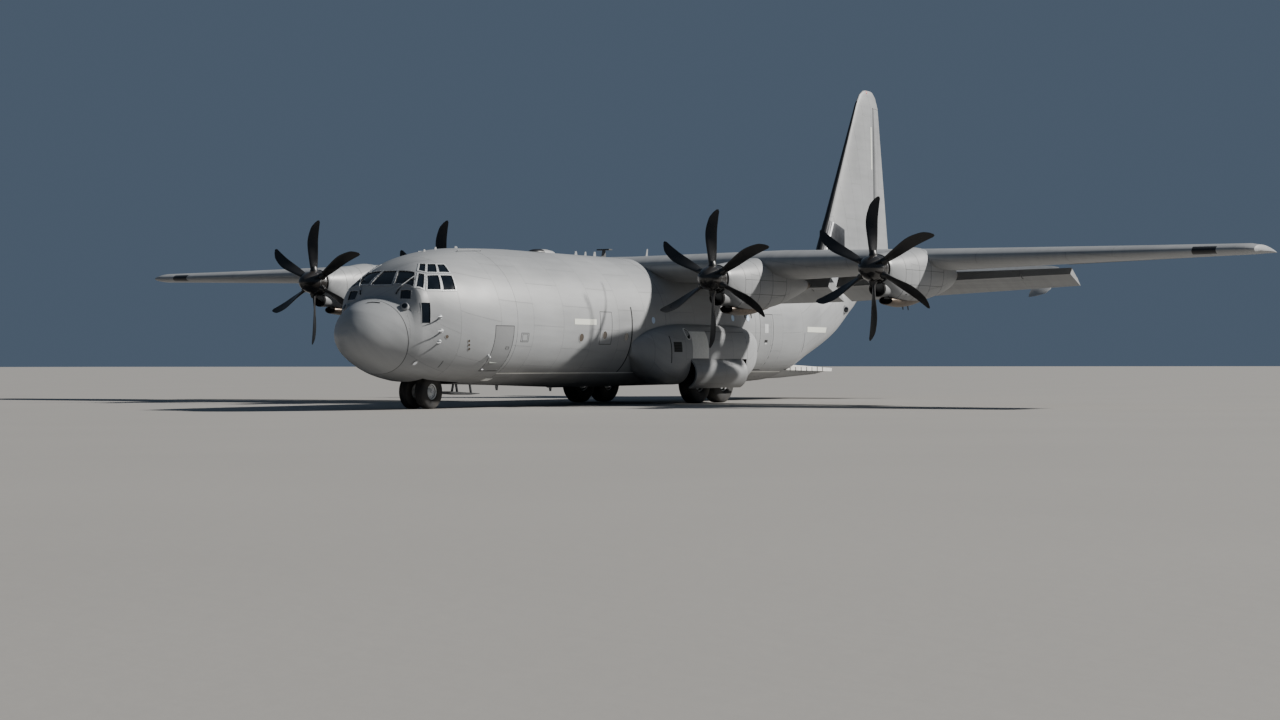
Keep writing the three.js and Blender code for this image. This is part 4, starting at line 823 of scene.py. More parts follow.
def on_hull(point, lift=0.0):
    """The place on the skin outwards of a point, and as much off it as lift says."""
    x, y, z = point
    mid = hull_row(y)[4]
    reach = hull_depth(x, y, z)
    base = Vector((x / reach, y, mid + (z - mid) / reach))
    if lift == 0.0:
        return tuple(base)
    step = 4.0
    slope = Vector([hull_depth(*(base + d)) - hull_depth(*(base - d))
                    for d in (Vector((step, 0, 0)), Vector((0, step, 0)), Vector((0, 0, step)))])
    return tuple(base + slope.normalized() * lift)


def hull_normal(point):
    return (Vector(on_hull(point, 10)) - Vector(on_hull(point))).normalized()


def grid_between(corners, across, down, put):
    """A grid inside four corners, which go round, with each of its points put in its place."""
    a, b, c, d = (np.array(p, float) for p in corners)
    return [[put((1 - t) * ((1 - s) * a + s * b) + t * ((1 - s) * d + s * c))
             for s in np.linspace(0, 1, across)] for t in np.linspace(0, 1, down)]


def hull_grid(corners, across, down, lift):
    return grid_between(corners, across, down, lambda p: on_hull(p, lift))


def grown(corners, by):
    """Corners moved outwards along both their edges."""
    points = [Vector(p) for p in corners]
    out = []
    for i, p in enumerate(points):
        before, after = points[i - 1], points[(i + 1) % len(points)]
        out.append(tuple(p + ((p - before).normalized() + (p - after).normalized()) * by))
    return out


def edge_path(corners, steps):
    points = [Vector(p) for p in corners]
    return [tuple(points[i].lerp(points[(i + 1) % len(points)], k / steps))
            for i in range(len(points)) for k in range(steps)]


def band(form, inner, outer, low, high, slot):
    """A flat band on the skin between two loops of points."""
    form.hoop([[on_hull(a, low), on_hull(a, high), on_hull(b, high), on_hull(b, low)]
               for a, b in zip(inner, outer)], slot)


def hull_rim(form, corners, width, low, high, slot=0, steps=6):
    """A band round a four-sided place."""
    band(form, edge_path(corners, steps), edge_path(grown(corners, width), steps), low, high, slot)


def circle_on_hull(y, z, radius):
    """Points of a circle drawn on the fuselage's left side."""
    return [side_point(y + radius * math.cos(a), z + radius * math.sin(a), 0) for a in ring_angles(28)]


def round_rim(form, y, z, radius, width, low, high):
    band(form, circle_on_hull(y, z, radius), circle_on_hull(y, z, radius + width), low, high, 0)


def round_plate(form, y, z, radius, low, high):
    """A thin disc that follows the skin."""
    form.loft([[on_hull(p, lift) for p in circle_on_hull(y, z, radius * share)]
               for share, lift in ((0.02, low), (1, low), (1, high), (0.02, high))])


def plate(form, corners, low, high, slot=0, across=8, down=8):
    """A thin plate on the skin inside four corners."""
    form.slab(hull_grid(corners, across, down, high), hull_grid(corners, across, down, low), slot)


def on_both_sides(panes):
    """Each pane's corners, followed by those of its mirror image."""
    return [each for corners in panes for each in (corners, [(-x, y, z) for x, y, z in reversed(corners)])]


# Window panes and ports of the left half, by their corners on the skin.
PANES = {
    "front": [(283, 2225, 3781), (791, 2267, 3732), (1051, 1846, 3331), (441, 1833, 3428)],
    "quarter": [(902, 2292, 3705), (1039, 2367, 3673), (1255, 2031, 3276), (1125, 1884, 3326)],
    "side_front": [(1111, 2399, 3639), (1256, 2704, 3659), (1468, 2536, 3261), (1310, 2129, 3252)],
    "side_rear": [(1283, 2755, 3655), (1409, 3111, 3657), (1619, 3007, 3266), (1499, 2611, 3249)],
    "brow_front": [(674, 2655, 3975), (797, 2751, 3976), (994, 2458, 3748), (832, 2385, 3788)],
    "brow_middle": [(839, 2781, 3971), (970, 2963, 3975), (1189, 2744, 3740), (1038, 2498, 3740)],
    "brow_rear": [(1003, 2998, 3967), (1086, 3203, 3973), (1333, 3119, 3745), (1216, 2803, 3742)],
    "chin": [(724, 1744, 3232), (1024, 1784, 3227), (1066, 1715, 2988), (768, 1655, 3005)],
}
CENTRE_PANE = [(-225, 2225, 3785), (225, 2225, 3785), (350, 1815, 3395), (-350, 1815, 3395)]
SIDE_PORT = [(1331, 1830, 2890), (1427, 2100, 2894), (1457, 2072, 2348), (1361, 1822, 2345)]

GREY_FRAMED = ("front", "chin")

CREW_DOOR = {"y": (4330, 5130), "z": (1060, 2300)}
TROOP_DOOR = {"y": (19640, 20560), "z": (1060, 2900)}
NOSE_WELL = {"x": 690, "y": (2760, 4450), "roof": 1460}
PLAY = 12


def shell_form(y0, y1, pitch, inner_pitch=500):
    """A length of fuselage with its wall, open at both ends."""
    form, walls = Form(), []
    for slot, inset, step in ((0, 0, pitch), (1, SKIN, inner_pitch)):
        ys = stations(y0, y1, step, first_column(HULL))
        walls.append([hull_ring(y, inset) for y in ys])
        form.loft(walls[-1], slot, (False, False), ys)
    outside, inside = walls
    for first, second in ((outside[0], inside[0]), (outside[-1], inside[-1])):
        form.loft([first, second], 1, (False, False))
    return form


def closed_hull(y0, y1, pitch, extra=()):
    """A length of fuselage as one closed piece."""
    ys = stations(y0, y1, pitch, [*extra, *first_column(HULL)])
    return Form().loft([hull_ring(y) for y in ys], travel=ys)


def joint_station(z, shift=0.0):
    """Where the leaning joint behind the radome is at a height."""
    return RADOME_JOINT["y"] + RADOME_JOINT["lean"] * (z - RADOME_JOINT["z"]) + shift


def ahead_of_joint(shift):
    low, high = 0, 4000
    return Form().side([(-500, low), (joint_station(low, shift), low), (joint_station(high, shift), high),
                        (-500, high)], -3000, 3000, 1)


def joint_ring(shift, lift):
    """Points of the radome's joint on the skin, or off it."""
    ring = []
    for i in range(detail().hull_points):
        y = RADOME_JOINT["y"]
        for _ in range(5):
            x, _, z = hull_ring(y)[i]
            y = joint_station(z, shift)
        ring.append(on_hull((x, y, z), lift))
    return ring


def door_cutter(y, z, x0, play=0, side=1):
    x = sorted((side * x0, side * 3000))
    return Form().box(x, (y[0] - play, y[1] + play), (z[0] - play, z[1] + play), 1)


def pane_cutter(corners):
    return Form().slab(hull_grid(corners, 6, 6, 60), hull_grid(corners, 6, 6, -SKIN - 90), 1)


class PLANE_OT_fuselage(bpy.types.Operator):
    """Makes the smooth fuselage skins with their window, door and cargo openings"""

    bl_idname = "plane.fuselage"
    bl_label = "Fuselage skins"

    def execute(self, context):
        skin = ("paint", "lining")
        rounded = [NOSE_TIP + 1.6 * k * k for k in range(1, 20)]
        radome = raw_object("radome_skin", closed_hull(NOSE_TIP, 1900, 60, rounded), ("radome", "dark"))
        carve(radome, [ahead_of_joint(-2)], "INTERSECT")
        settle(radome, replaces=("radome",), slot="radome_paint")

        cockpit = raw_object("cockpit_skin", shell_form(1200, COCKPIT_JOINT, 110, 300), skin)
        panes = [*on_both_sides(PANES.values()), CENTRE_PANE, *on_both_sides([SIDE_PORT])]
        well = Form().box((-NOSE_WELL["x"], NOSE_WELL["x"]), NOSE_WELL["y"], (0, NOSE_WELL["roof"]), 1)
        crew_door = door_cutter(CREW_DOOR["y"], CREW_DOOR["z"], 900, PLAY)
        carve(cockpit, [ahead_of_joint(2), *map(pane_cutter, panes), crew_door, well])
        settle(cockpit, replaces=("cockpit_shell",))

        for word, y0, y1 in (("forward", COCKPIT_JOINT, FRONT_SPAR_JOINT),
                             ("centre", FRONT_SPAR_JOINT, REAR_SPAR_JOINT)):
            piece(f"{word}_skin", shell_form(y0, y1, 400), skin, replaces=(f"{word}_fuselage",))

        aft = raw_object("aft_skin", shell_form(REAR_SPAR_JOINT, TAIL_JOINT, 280), skin)
        doors = [door_cutter(TROOP_DOOR["y"], TROOP_DOOR["z"], 1200, 2, side) for side in (1, -1)]
        carve(aft, [*doors, cargo_opening()])
        wall = Form().loft([hull_ring(y, SKIN + 4) for y in (TAIL_JOINT - 120, TAIL_JOINT - 4)], 1)
        for x in DOOR_LUGS["x"]:
            wall.side(DOOR_LUGS["outline"], x - 20, x + 20, 1)
        piece("tail_bulkhead", wall, ("paint", "lining"))
        settle(aft, replaces=("aft_fuselage",))

        piece("tail_cone_skin", closed_hull(TAIL_JOINT, TAIL_END, 200), "paint", replaces=("tail_cone",))
        return {"FINISHED"}


RAMP = {"hinge_y": 22500, "end": 26100, "half": 1530, "yellow_half": 1440}
DOOR_END = {"y": 29250, "half": 1060}
DOOR_LUGS = {
    "x": (-665, -535, 535, 665),
    "outline": [(29395, 3670), (29395, 3780), (29210, 3770), (29200, 3700), (29240, 3690)],  # y, z
}
EDGE = 45


def rim_height(y):
    """Height of the cargo opening's sloping rim."""
    return 1040 + (3900 - 1040) * (y - RAMP["hinge_y"]) / (DOOR_END["y"] - RAMP["hinge_y"])


def cargo_opening():
    half, end = RAMP["half"] + EDGE, DOOR_END["half"] + EDGE
    plan = [(-half, RAMP["hinge_y"] - 10), (half, RAMP["hinge_y"] - 10), (half, RAMP["end"]),
            (end, DOOR_END["y"] + EDGE), (-end, DOOR_END["y"] + EDGE), (-half, RAMP["end"])]
    return Form().prism(plan, 0, lambda y: rim_height(y) + 300, 1)


# Cockpit windows


class PLANE_OT_windows(bpy.types.Operator):
    """Glazes the flight deck, with frames, bolts and wipers"""

    bl_idname = "plane.windows"
    bl_label = "Flight deck windows"

    def execute(self, context):
        grey = [*on_both_sides(PANES[name] for name in GREY_FRAMED), CENTRE_PANE]
        panes, frames, spots = Form(), Form(), []
        for corners in [*on_both_sides(PANES.values()), CENTRE_PANE]:
            plate(panes, grown(corners, 6), -46, -16, 0, 7, 7)
            hull_rim(frames, corners, 40, -30, 9, int(corners in grey))
            spots += [(on_hull(p, 9), hull_normal(p)) for p in edge_path(grown(corners, 18), 5)]
        for corners in on_both_sides([SIDE_PORT]):
            plate(panes, grown(corners, 6), -46, -16, 0, 4, 8)
            hull_rim(frames, corners, 16, -30, 4, 1)
        piece("flight_deck_glass", panes, "glass", replaces=("cockpit_glass",), slot="tinted_glass")
        piece("window_frames", frames, ("pale", "paint_plain"))
        radius = detail().bolt_radius
        studs("window_bolts", spots, radius, radius * 0.8, "steel", sides=8, tip=radius * 0.7)
        self.wipers()
        return {"FINISHED"}

    def wipers(self):
        form = Form()
        for side in (1, -1):
            root, tip = on_hull((side * 690, 1700, 3290), 30), on_hull((side * 800, 2010, 3545), 30)
            form.tube([on_hull((side * 690, 1700, 3290), -10), root], 22, 12)
            form.tube([root, tip], [13, 9], 8)
            low, high = on_hull((side * 640, 1960, 3480), 16), on_hull((side * 1000, 2060, 3560), 16)
            form.tube([low, high], 11, 8)
        piece("wipers", form, "boot")


# Doors, ports and panels of the fuselage


def side_corners(y0, y1, z0, z1):
    return [side_point(y, z, 0) for y, z in ((y0, z1), (y1, z1), (y1, z0), (y0, z0))]


class PLANE_OT_doors(bpy.types.Operator):
    """Makes the crew door with its steps, and the paratroop doors"""

    bl_idname = "plane.doors"
    bl_label = "Doors"

    def execute(self, context):
        (y0, y1), (z0, z1) = CREW_DOOR["y"], CREW_DOOR["z"]
        door = Form().slab(door_grid(y0, y1, z0, z1, 0), door_grid(y0, y1, z0, z1, -SKIN), 0, 1)
        for k in range(3):
            z = z0 + 230 + k * 330
            x = on_hull((2000, y0 + 300, z))[0]
            door.box((x - 330, x - SKIN + 20), (y0 + 120, y1 - 120), (z - 18, z + 18), 1)
        hull_rim(door, [on_hull((2000, y0 + 560, 1720)), on_hull((2000, y0 + 680, 1720)),
                        on_hull((2000, y0 + 680, 1660)), on_hull((2000, y0 + 560, 1660))], 10, -2, 6, 2, 2)
        piece("crew_door_skin", door, ("door_paint", "lining", "seam"), body="crew_door_body",
              replaces=("crew_door",))
        hinges = Form()
        for y in (y0 + 45, y1 - 45):
            hinges.tube([(1525, y - 44, 1090), (1525, y + 44, 1090)], 20, 14)
        piece("crew_door_hinges", hinges, "steel", body="crew_door_body", slot="bare_steel")

        (y0, y1), (z0, z1) = TROOP_DOOR["y"], TROOP_DOOR["z"]
        for side, word in SIDES:
            edges = (y0 + 4, y1 - 4, z0 + 4, z1 - 4)
            form = Form().slab(door_grid(*edges, 0), door_grid(*edges, -SKIN), 0, 1)
            plate(form, side_corners(y0 + 300, y0 + 560, 2280, 2580), -4, 5, 2)
            plate(form, side_corners(y0 + 330, y0 + 540, 1960, 2050), -4, 4, 3)
            plate(form, side_corners(y0 + 350, y0 + 500, 1900, 1955), -4, 8, 2)
            piece(f"troop_door_skin_{word}", form.on(side), ("paint", "lining", "pale", "dark"),
                  replaces=(f"troop_door_{word}",))
        return {"FINISHED"}


def door_grid(y0, y1, z0, z1, lift):
    """Skin points at even heights, so that the door's edges stay upright."""
    return [[side_point(y, z, lift) for y in np.linspace(y0, y1, 7)] for z in np.linspace(z1, z0, 20)]


def seam(form, y0, y1, z0, z1, width):
    """Adds a thin dark joint round a rectangle on the fuselage's left side."""
    path = [(y0, z0), (y1, z0), (y1, z1), (y0, z1)]
    for (ya, za), (yb, zb) in zip(path, path[1:] + path[:1]):
        count = 10 if abs(zb - za) > abs(yb - ya) else 3
        rows = []
        for t in np.linspace(0, 1, count):
            y, z = ya + (yb - ya) * t, za + (zb - za) * t
            dy, dz = (width, 0) if za != zb else (0, width)
            rows.append([side_point(y - dy, z - dz, 2.5), side_point(y + dy, z + dz, 2.5),
                         side_point(y + dy, z + dz, -8), side_point(y - dy, z - dz, -8)])
        form.loft(rows)


PORTHOLES = [(8566, 2015), (9838, 2099), (11070, 2060)]
SKY_PORTS = [(12639, 2585), (17739, 2739), (18788, 2757)]
STRIP_LIGHTS = [(8160, 9350, 2395, 2560), (23150, 24900, 2350, 2530)]
STATIC_PORTS = [
    # station, height, radius
    (3342, 1873, 38), (3374, 1764, 38), (3417, 1655, 38), (2584, 1984, 50),
]
CHIN_LAMP = (1946, 1273)
HATCH_JOINTS = [
    # y and z limits, half width of the joint
    (9580, 10230, 1830, 2790, 10),
    (5495, 5850, 1868, 2113, 8),
    (5560, 5790, 1900, 2080, 5),
    (2722, 2730, 1150, 1330, 6),
    (19630, 20570, 1050, 2910, 10),
    (22946, 22954, 1650, 2330, 4),
]
LAP_JOINT = {"y": (11355, 11410), "z": (1000, 2970)}
RING_JOINTS = [(COCKPIT_JOINT, 3), (FRONT_SPAR_JOINT, 3), (REAR_SPAR_JOINT, 3), (TAIL_JOINT, 5)]  # half width
# The strake's pale front plate stands where a glint is: a painted highlight.
STRAKE = {"y": (5250, 22300), "z": (965, 998), "front_plate": (5120, 5420, 785, 850)}

PITOTS = [(2377, 2514, 110), (2409, 2136, 180), (2380, 1831, 120)]  # station, height, reach
DRAIN_STUBS = (1800, 4297, 1466)
BLISTERS = [(1760, 26773, 3206, 150), (982, 1580, 2775, 110)]  # x, y, z, radius
ROOF_DOME = [
    # station, half width, height
    (9060, 30, 20), (9120, 110, 60), (9280, 195, 96), (9550, 215, 112), (9850, 212, 110), (10120, 170, 84),
    (10290, 90, 50), (10350, 40, 20),
]
RADOME_LIP = [(150, 1000, 2880), (250, 1100, 2905), (350, 1150, 2895), (440, 1192, 2881)]
WIPER = [(593, 1740, 3242), (700, 1800, 3330), (885, 2111, 3598)]
HANDRAIL = [(640, y, 4300) for y in (4400, 4700, 5100, 5500)]
ROOF_AERIALS = [
    # station, length, height
    (3720, 130, 70), (4240, 130, 70), (5200, 190, 60),
    (11500, 190, 120), (12060, 150, 130), (12580, 190, 150), (13060, 300, 250),
]
BELLY_AERIALS = [(7200, 190, 150), (10050, 190, 130)]
WING_ROOT_AERIAL = (15740, 150, 310, 4660)  # station, length, height, foot
FLAT_AERIAL = {"y": 13150, "z": 4820, "half": 230, "outline": [(0, 0), (230, 0), (228, 34), (14, 38)]}


class PLANE_OT_fittings(bpy.types.Operator):
    """Puts on the fuselage's ports, panels, joints, strips, probes and aerials"""

    bl_idname = "plane.fittings"
    bl_label = "Fuselage fittings"

    def execute(self, context):
        self.ports()
        self.joints()
        self.probes()
        self.roof()
        return {"FINISHED"}

    def ports(self):
        brown, blue, rims = Form(), Form(), Form()
        for panes, spots, radius, width, high in ((brown, PORTHOLES, 118, 26, 8),
                                                  (blue, SKY_PORTS, 105, 20, 6)):
            for y, z in spots:
                round_plate(panes, y, z, radius, -10, 3)
                round_rim(rims, y, z, radius, width, -10, high)
        piece("porthole_glass", brown.both(), "porthole", slot="tinted_glass")
        # The side windows' pale blue glass is a painted sky reflection.
        piece("side_window_glass_painted_sky", blue.both(), "sky_glass", slot="tinted_glass")
        strips = Form()
        for y0, y1, z0, z1 in STRIP_LIGHTS:
            plate(strips, side_corners(y0, y1, z0, z1), -6, 7, 0, 10, 3)
        piece("formation_strips", strips.both(), "strip")

        vents = Form()
        for y, z, radius in STATIC_PORTS:
            round_plate(vents, y, z, radius, -6, 4)
            round_rim(rims, y, z, radius, 14, -6, 7)
        piece("static_ports", vents.both(), "burnt", slot="bare_steel")
        piece("port_rims", rims.both(), "paint_plain")

        y, z = CHIN_LAMP
        lamps, bezels = Form(), Form()
        round_plate(lamps, y, z, 44, -6, 10)
        round_rim(bezels, y, z, 44, 22, -8, 16)
        piece("chin_lamps", lamps.both(), "clear_lamp")
        piece("chin_lamp_rims", bezels.both(), "steel", slot="bare_steel")

    def joints(self):
        form = Form()
        for y0, y1, z0, z1, wide in HATCH_JOINTS:
            seam(form, y0, y1, z0, z1, wide)
        front, rear = LAP_JOINT["y"]
        form.loft([[side_point(y, z, lift) for y, lift in ((front, 4), (rear, 4), (rear, -8), (front, -8))]
                   for z in np.linspace(*LAP_JOINT["z"], 24)], 1).both()
        (y0, y1), (z0, z1) = CREW_DOOR["y"], CREW_DOOR["z"]
        seam(form, y0 - 6, y1 + 6, z0 - 6, z1 + 6, 12)
        form.tube([on_hull(p, 4) for p in RADOME_LIP], 17, 8)
        for y, wide in RING_JOINTS:
            form.hoop([hull_ring(at, -lift)
                       for at, lift in ((y - wide, -6), (y - wide, 2), (y + wide, 2), (y + wide, -6))])
        form.hoop([joint_ring(shift, lift) for shift, lift in ((-8, -6), (-8, 2), (8, 2), (8, -6))])
        piece("skin_joints", form, ("seam", "dark"))

        low, high = STRAKE["z"]
        strip = ((low, 4), (high, 4), (high, -10), (low, -10))
        keel = Form().loft([[side_point(y, z, lift) for z, lift in strip]
                            for y in stations(*STRAKE["y"], 500)])
        # The front plate's pale finish is a painted highlight for a glint.
        plate(keel, side_corners(*STRAKE["front_plate"]), -8, 16, 0, 4, 3)
        piece("waterline_strake", keel.both(), "light_panel")

    def probes(self):
        form, bright = Form(), Form()
        for side in (1, -1):
            for y, z, reach in PITOTS:
                root, out = Vector(on_hull((side * 1580, y, z))), hull_normal((side * 1580, y, z))
                knee = root + out * 120 + Vector((0, -60, 0))
                form.tube([root - out * 10, root + out * 78, knee], [32, 24, 17], 12)
                form.tube([knee, knee + Vector((0, -reach, 0))], [17, 11], 12)
                bright.tube([knee + Vector((0, -reach, 0)), knee + Vector((0, -reach - 60, 0))], [11, 7], 10)
                bright.tube([root - out * 4, root + out * 18], [66, 46], 16)
            spot = (side * DRAIN_STUBS[0], *DRAIN_STUBS[1:])
            root, out = Vector(on_hull(spot)), hull_normal(spot)
            for dy, dz in ((-30, 30), (40, -20)):
                stub = [root - out * 6 + Vector((0, dy, dz)), root + out * 80 + Vector((0, dy - 60, dz))]
                bright.tube(stub, [34, 24], 10)
            arm = [Vector(on_hull((side * x, y, z), 30)) for x, y, z in WIPER]
            form.tube([Vector(on_hull((side * WIPER[0][0], *WIPER[0][1:]), -10)), arm[0], arm[1]], 15, 8)
            bright.tube(arm[1:], 13, 8)
        piece("air_probes", form, "steel", slot="bare_steel")
        piece("probe_tips", bright, "pale", slot="bare_steel")

    def roof(self):
        form = Form()

        def blade(y, length, height, base, slot=0, up=1, lean=0.35, taper=0.45, shares=(0, 0.55, 1)):
            rings = []
            for share in shares:
                chord, half = length * (1 - taper * share), 13 * (1 - 0.5 * share)
                rings.append([(half * math.sin(a), y + lean * share * height + chord / 2 * (1 - math.cos(a)),
                               base + up * (share * (height + 15) - 15)) for a in ring_angles(14)])
            form.loft(rings, slot)

        for y, length, height in ROOF_AERIALS:
            blade(y, length, height, hull_row(y)[1], int(y == ROOF_AERIALS[-1][0]))
        blade(*WING_ROOT_AERIAL)
        y, z, half, outline = FLAT_AERIAL.values()
        form.loft([[(x, y + dy * share, z + dz) for dy, dz in outline]
                   for x, share in ((-half, 0.9), (0, 1), (half, 0.9))], 1)
        for y, length, height in BELLY_AERIALS:
            blade(y, length, height, hull_row(y)[2], up=-1, lean=50 / height, taper=0.4, shares=(0, 1))
        piece("blade_aerials", form, ("paint_plain", "seam"))

        rails = Form()
        for side in (1, -1):
            line = [(side * x, y, z) for x, y, z in HANDRAIL]
            points = [on_hull(p, 50) for p in line]
            ends = [on_hull(p, -6) for p in (line[0], line[-1])]
            rails.tube([ends[0], *points, ends[1]], 12, 8)
        piece("roof_handrails", rails, "paint_plain")

        rings = []
        for y, half, high in ROOF_DOME:
            rings.append([(half * math.cos(a), y, 4592 + high * math.sin(a) * (1 if math.sin(a) > 0 else 0.5))
                          for a in ring_angles(24)])
        # The front half of the dome takes the near-black boot finish, the rear half the paint.
        dome = Form().loft(rings, slot_of=lambda r, i: int(r < 3))
        piece("roof_dome_skin", dome, ("paint_plain", "boot"), replaces=("roof_dome",))

        blisters, eyes = Form(), Form()
        for side in (1, -1):
            for x, y, z, r in BLISTERS:
                root, out = Vector(on_hull((side * x, y, z))), hull_normal((side * x, y, z))
                out = (out + Vector((0, -0.6, 0))).normalized()
                blisters.tube([root - out * 60, root + out * 60, root + out * 84, root + out * 84],
                              [r * 1.15, r, r * 0.9, r * 0.72], 24)
                eyes.tube([root + out * 70, root + out * 90, root + out * 96],
                          [r * 0.7, r * 0.66, r * 0.3], 24)
        piece("sensor_eyes", eyes, "glass", slot="tinted_glass")
        piece("sensor_blisters", blisters, "paint_plain")


# Wing

WING = [
    # x, leading edge y, chord, height, thickness share, twist
    [0, 13820, 4880, 4170, 0.18, 0.05],
    [5590, 13820, 4880, 4230, 0.18, 0.05],
    [19900, 14408, 2540, 4367, 0.122, 0],
    [20140, 14540, 2280, 4370, 0.1, 0],
    [20205, 14900, 1500, 4372, 0.05, 0],
]
WING_BREAK, CAMBER, TWIST_CENTRE = 5590, 0.02, 0.3
FLAP = {"nose": 0.745, "cove": 0.732, "shroud_end": 0.9, "shroud": 0.016}
FLAP_PANELS = [("inner_flap", 2350, 5480, 5492), ("outer_flap", 5720, 13780, 13862)]
AILERON = {"x0": 13960, "x1": 19650, "hinge": 0.76, "lip": 0.02}
BOOT_SHARE, BOOT_SPAN = 0.06, (18450, 19120)
WICK = {"radius": 0.003, "height": 0.07, "finish_name": "boot", "sides": 6, "tip": 0.0012}


def foil_half(u, thickness):
    return 5 * thickness * (0.2969 * np.sqrt(u) - 0.126 * u - 0.3516 * u**2 + 0.2843 * u**3 - 0.1015 * u**4)


def foil(thickness, camber, steps=26):
    """Points of an aerofoil as shares of the chord: over the top to the nose, back underneath."""
    i = np.arange(-steps, steps + 1)
    u = (1 - np.cos(math.pi * i / steps)) / 2
    return np.stack([u, 4 * camber * u * (1 - u) + np.where(i <= 0, 1, -1) * foil_half(u, thickness)], -1)


def row_at(table, key):
    table = np.asarray(table, float)
    last = int(np.argmax(table[:, 0] >= key))
    if last == 0:
        return table[0].tolist()
    a, b = table[last - 1], table[last]
    return (a + (b - a) * (key - a[0]) / (b[0] - a[0])).tolist()


def wing_row(x):
    row = row_at(WING, abs(x))
    return [x, *row[1:]]


def wing_point(row, u, v):
    x, lead, chord, height, _, twist = row
    return (x, lead + u * chord, height + (v + twist * (TWIST_CENTRE - u)) * chord)


def wing_ring(x):
    row = wing_row(x)
    return [wing_point(row, u, v) for u, v in foil(row[4], CAMBER)]


def boot_rule(reach, booted):
    """Gives the boot's finish to what is near the leading edge on the steps that booted picks."""
    shares = foil(0.1, 0)[:, 0]
    ahead = [(a + b) / 2 < reach for a, b in zip(shares, [*shares[1:], shares[-1]])]
    return lambda r, i: int(ahead[i] and booted(r))


def wing_form(x0, x1):
    xs = stations(x0, x1, 620, [s * x for x in (*first_column(WING), *BOOT_SPAN) for s in (1, -1)])
    booted = lambda r: BOOT_SPAN[0] < abs(xs[r] + xs[min(r + 1, len(xs) - 1)]) / 2 < BOOT_SPAN[1]
    boots = boot_rule(BOOT_SHARE, booted)
    return Form().loft([wing_ring(x) for x in xs], travel=xs, slot_of=boots).map_turned()


def wing_block(x0, x1, outline):
    """A cutter along the wing whose outline is in shares of the chord, or a rule that gives it."""
    rings = []
    for row in (wing_row(x0), wing_row(x1)):
        points = outline(row) if callable(outline) else outline
        rings.append([wing_point(row, u, v) for u, v in points])
    # Slot 2 gives the cut faces the dark seam finish: painted shade in the gaps of the flaps and ailerons.
    return Form().loft(rings, 2)


def behind(u):
    return [(u, -0.4), (1.2, -0.4), (1.2, 0.4), (u, 0.4)]


def camber_line(u):
    return 4 * CAMBER * u * (1 - u)


def shroud(row):
    """What stays of the wing's upper skin over a flap's nose."""
    top = lambda u: camber_line(u) + float(foil_half(u, row[4]))
    under = top(FLAP["nose"]) - FLAP["shroud"]
    return [(0.6, 0.4), (0.6, under), (FLAP["nose"], under), (FLAP["shroud_end"], top(FLAP["shroud_end"])),
            (FLAP["shroud_end"], 0.4)]


def flap_cutter(panel, side):
    """The space for a flap: all behind the cove but the thin shroud over it."""
    _, x0, _, to = panel
    space = raw_object("space", wing_block(side * (x0 - PLAY), side * to, behind(FLAP["cove"])), DARK)
    return carve(space, [wing_block(side * (x0 - 40), side * (to + 20), shroud)])


def hinge_space(a, b, radii):
    """Room for a hinged surface's round nose between two points of its axis."""
    a, b = Vector(a), Vector(b)
    past = (b - a).normalized() * (2 * PLAY)
    return Form().tube([a - past, b + past], [r + PLAY for r in radii], 32)


class PLANE_OT_wings(bpy.types.Operator):
    """Makes the wing skins, flaps, ailerons, tip lights and static wicks"""

    bl_idname = "plane.wings"
    bl_label = "Wings"

    def execute(self, context):
        wing = ("wing", "boot", "seam")
        centre = raw_object("centre_wing_skin", wing_form(-WING_BREAK + 1, WING_BREAK - 1), wing)
        for side in (1, -1):
            cut_by(centre, flap_cutter(FLAP_PANELS[0], side))
        settle(centre, replaces=("centre_wing",))
        for side, word in SIDES:
            ends = sorted((side * (WING_BREAK + 1), side * WING[-1][0]))
            outer = raw_object(f"outer_wing_skin_{word}", wing_form(*ends), wing)
            cut_by(outer, flap_cutter(FLAP_PANELS[1], side))
            carve(outer, self.aileron_space(side))
            settle(outer, replaces=(f"outer_wing_{word}",))
            smooth_copy(f"aileron_{word}", f"aileron_skin_{word}", "wing", f"aileron_{word}_body")
            for name, *_ in FLAP_PANELS:
                smooth_copy(f"{name}_{word}", f"{name}_skin_{word}", "wing", f"{name}_{word}_body")
        self.tips()
        self.wicks()
        return {"FINISHED"}

    def aileron_space(self, side):
        ends, u = (AILERON["x0"], AILERON["x1"]), AILERON["hinge"]
        lips = wing_block(side * (ends[0] - PLAY), side * (ends[1] + PLAY), behind(u - AILERON["lip"]))
        rows = [wing_row(side * x) for x in ends]
        radii = [float(foil_half(u, row[4])) * row[2] for row in rows]
        return [lips, hinge_space(*(wing_point(row, u, camber_line(u)) for row in rows), radii)]

    def tips(self):
        for (side, word), name in zip(SIDES, ("red_lamp", "green_lamp")):
            x, y, z = wing_point(wing_row(side * 20060), 0.02, 0.0)
            path = [(x - side * 60, y + 20, z), (x + side * 20, y + 50, z), (x + side * 70, y + 180, z)]
            piece(f"tip_light_{word}", Form().tube(path, [34, 40, 22], 14), name)

    def wicks(self):
        for side, word in SIDES:
            spots = []
            for x in np.linspace(14300, 19500, 9):
                px, py, pz = wing_point(wing_row(side * x), 0.985, 0.0)
                spots.append(((px, py + 40, pz), (0, 1, -0.06)))
            studs(f"static_wicks_{word}", spots, **WICK, body=f"aileron_{word}_body")


# Tail

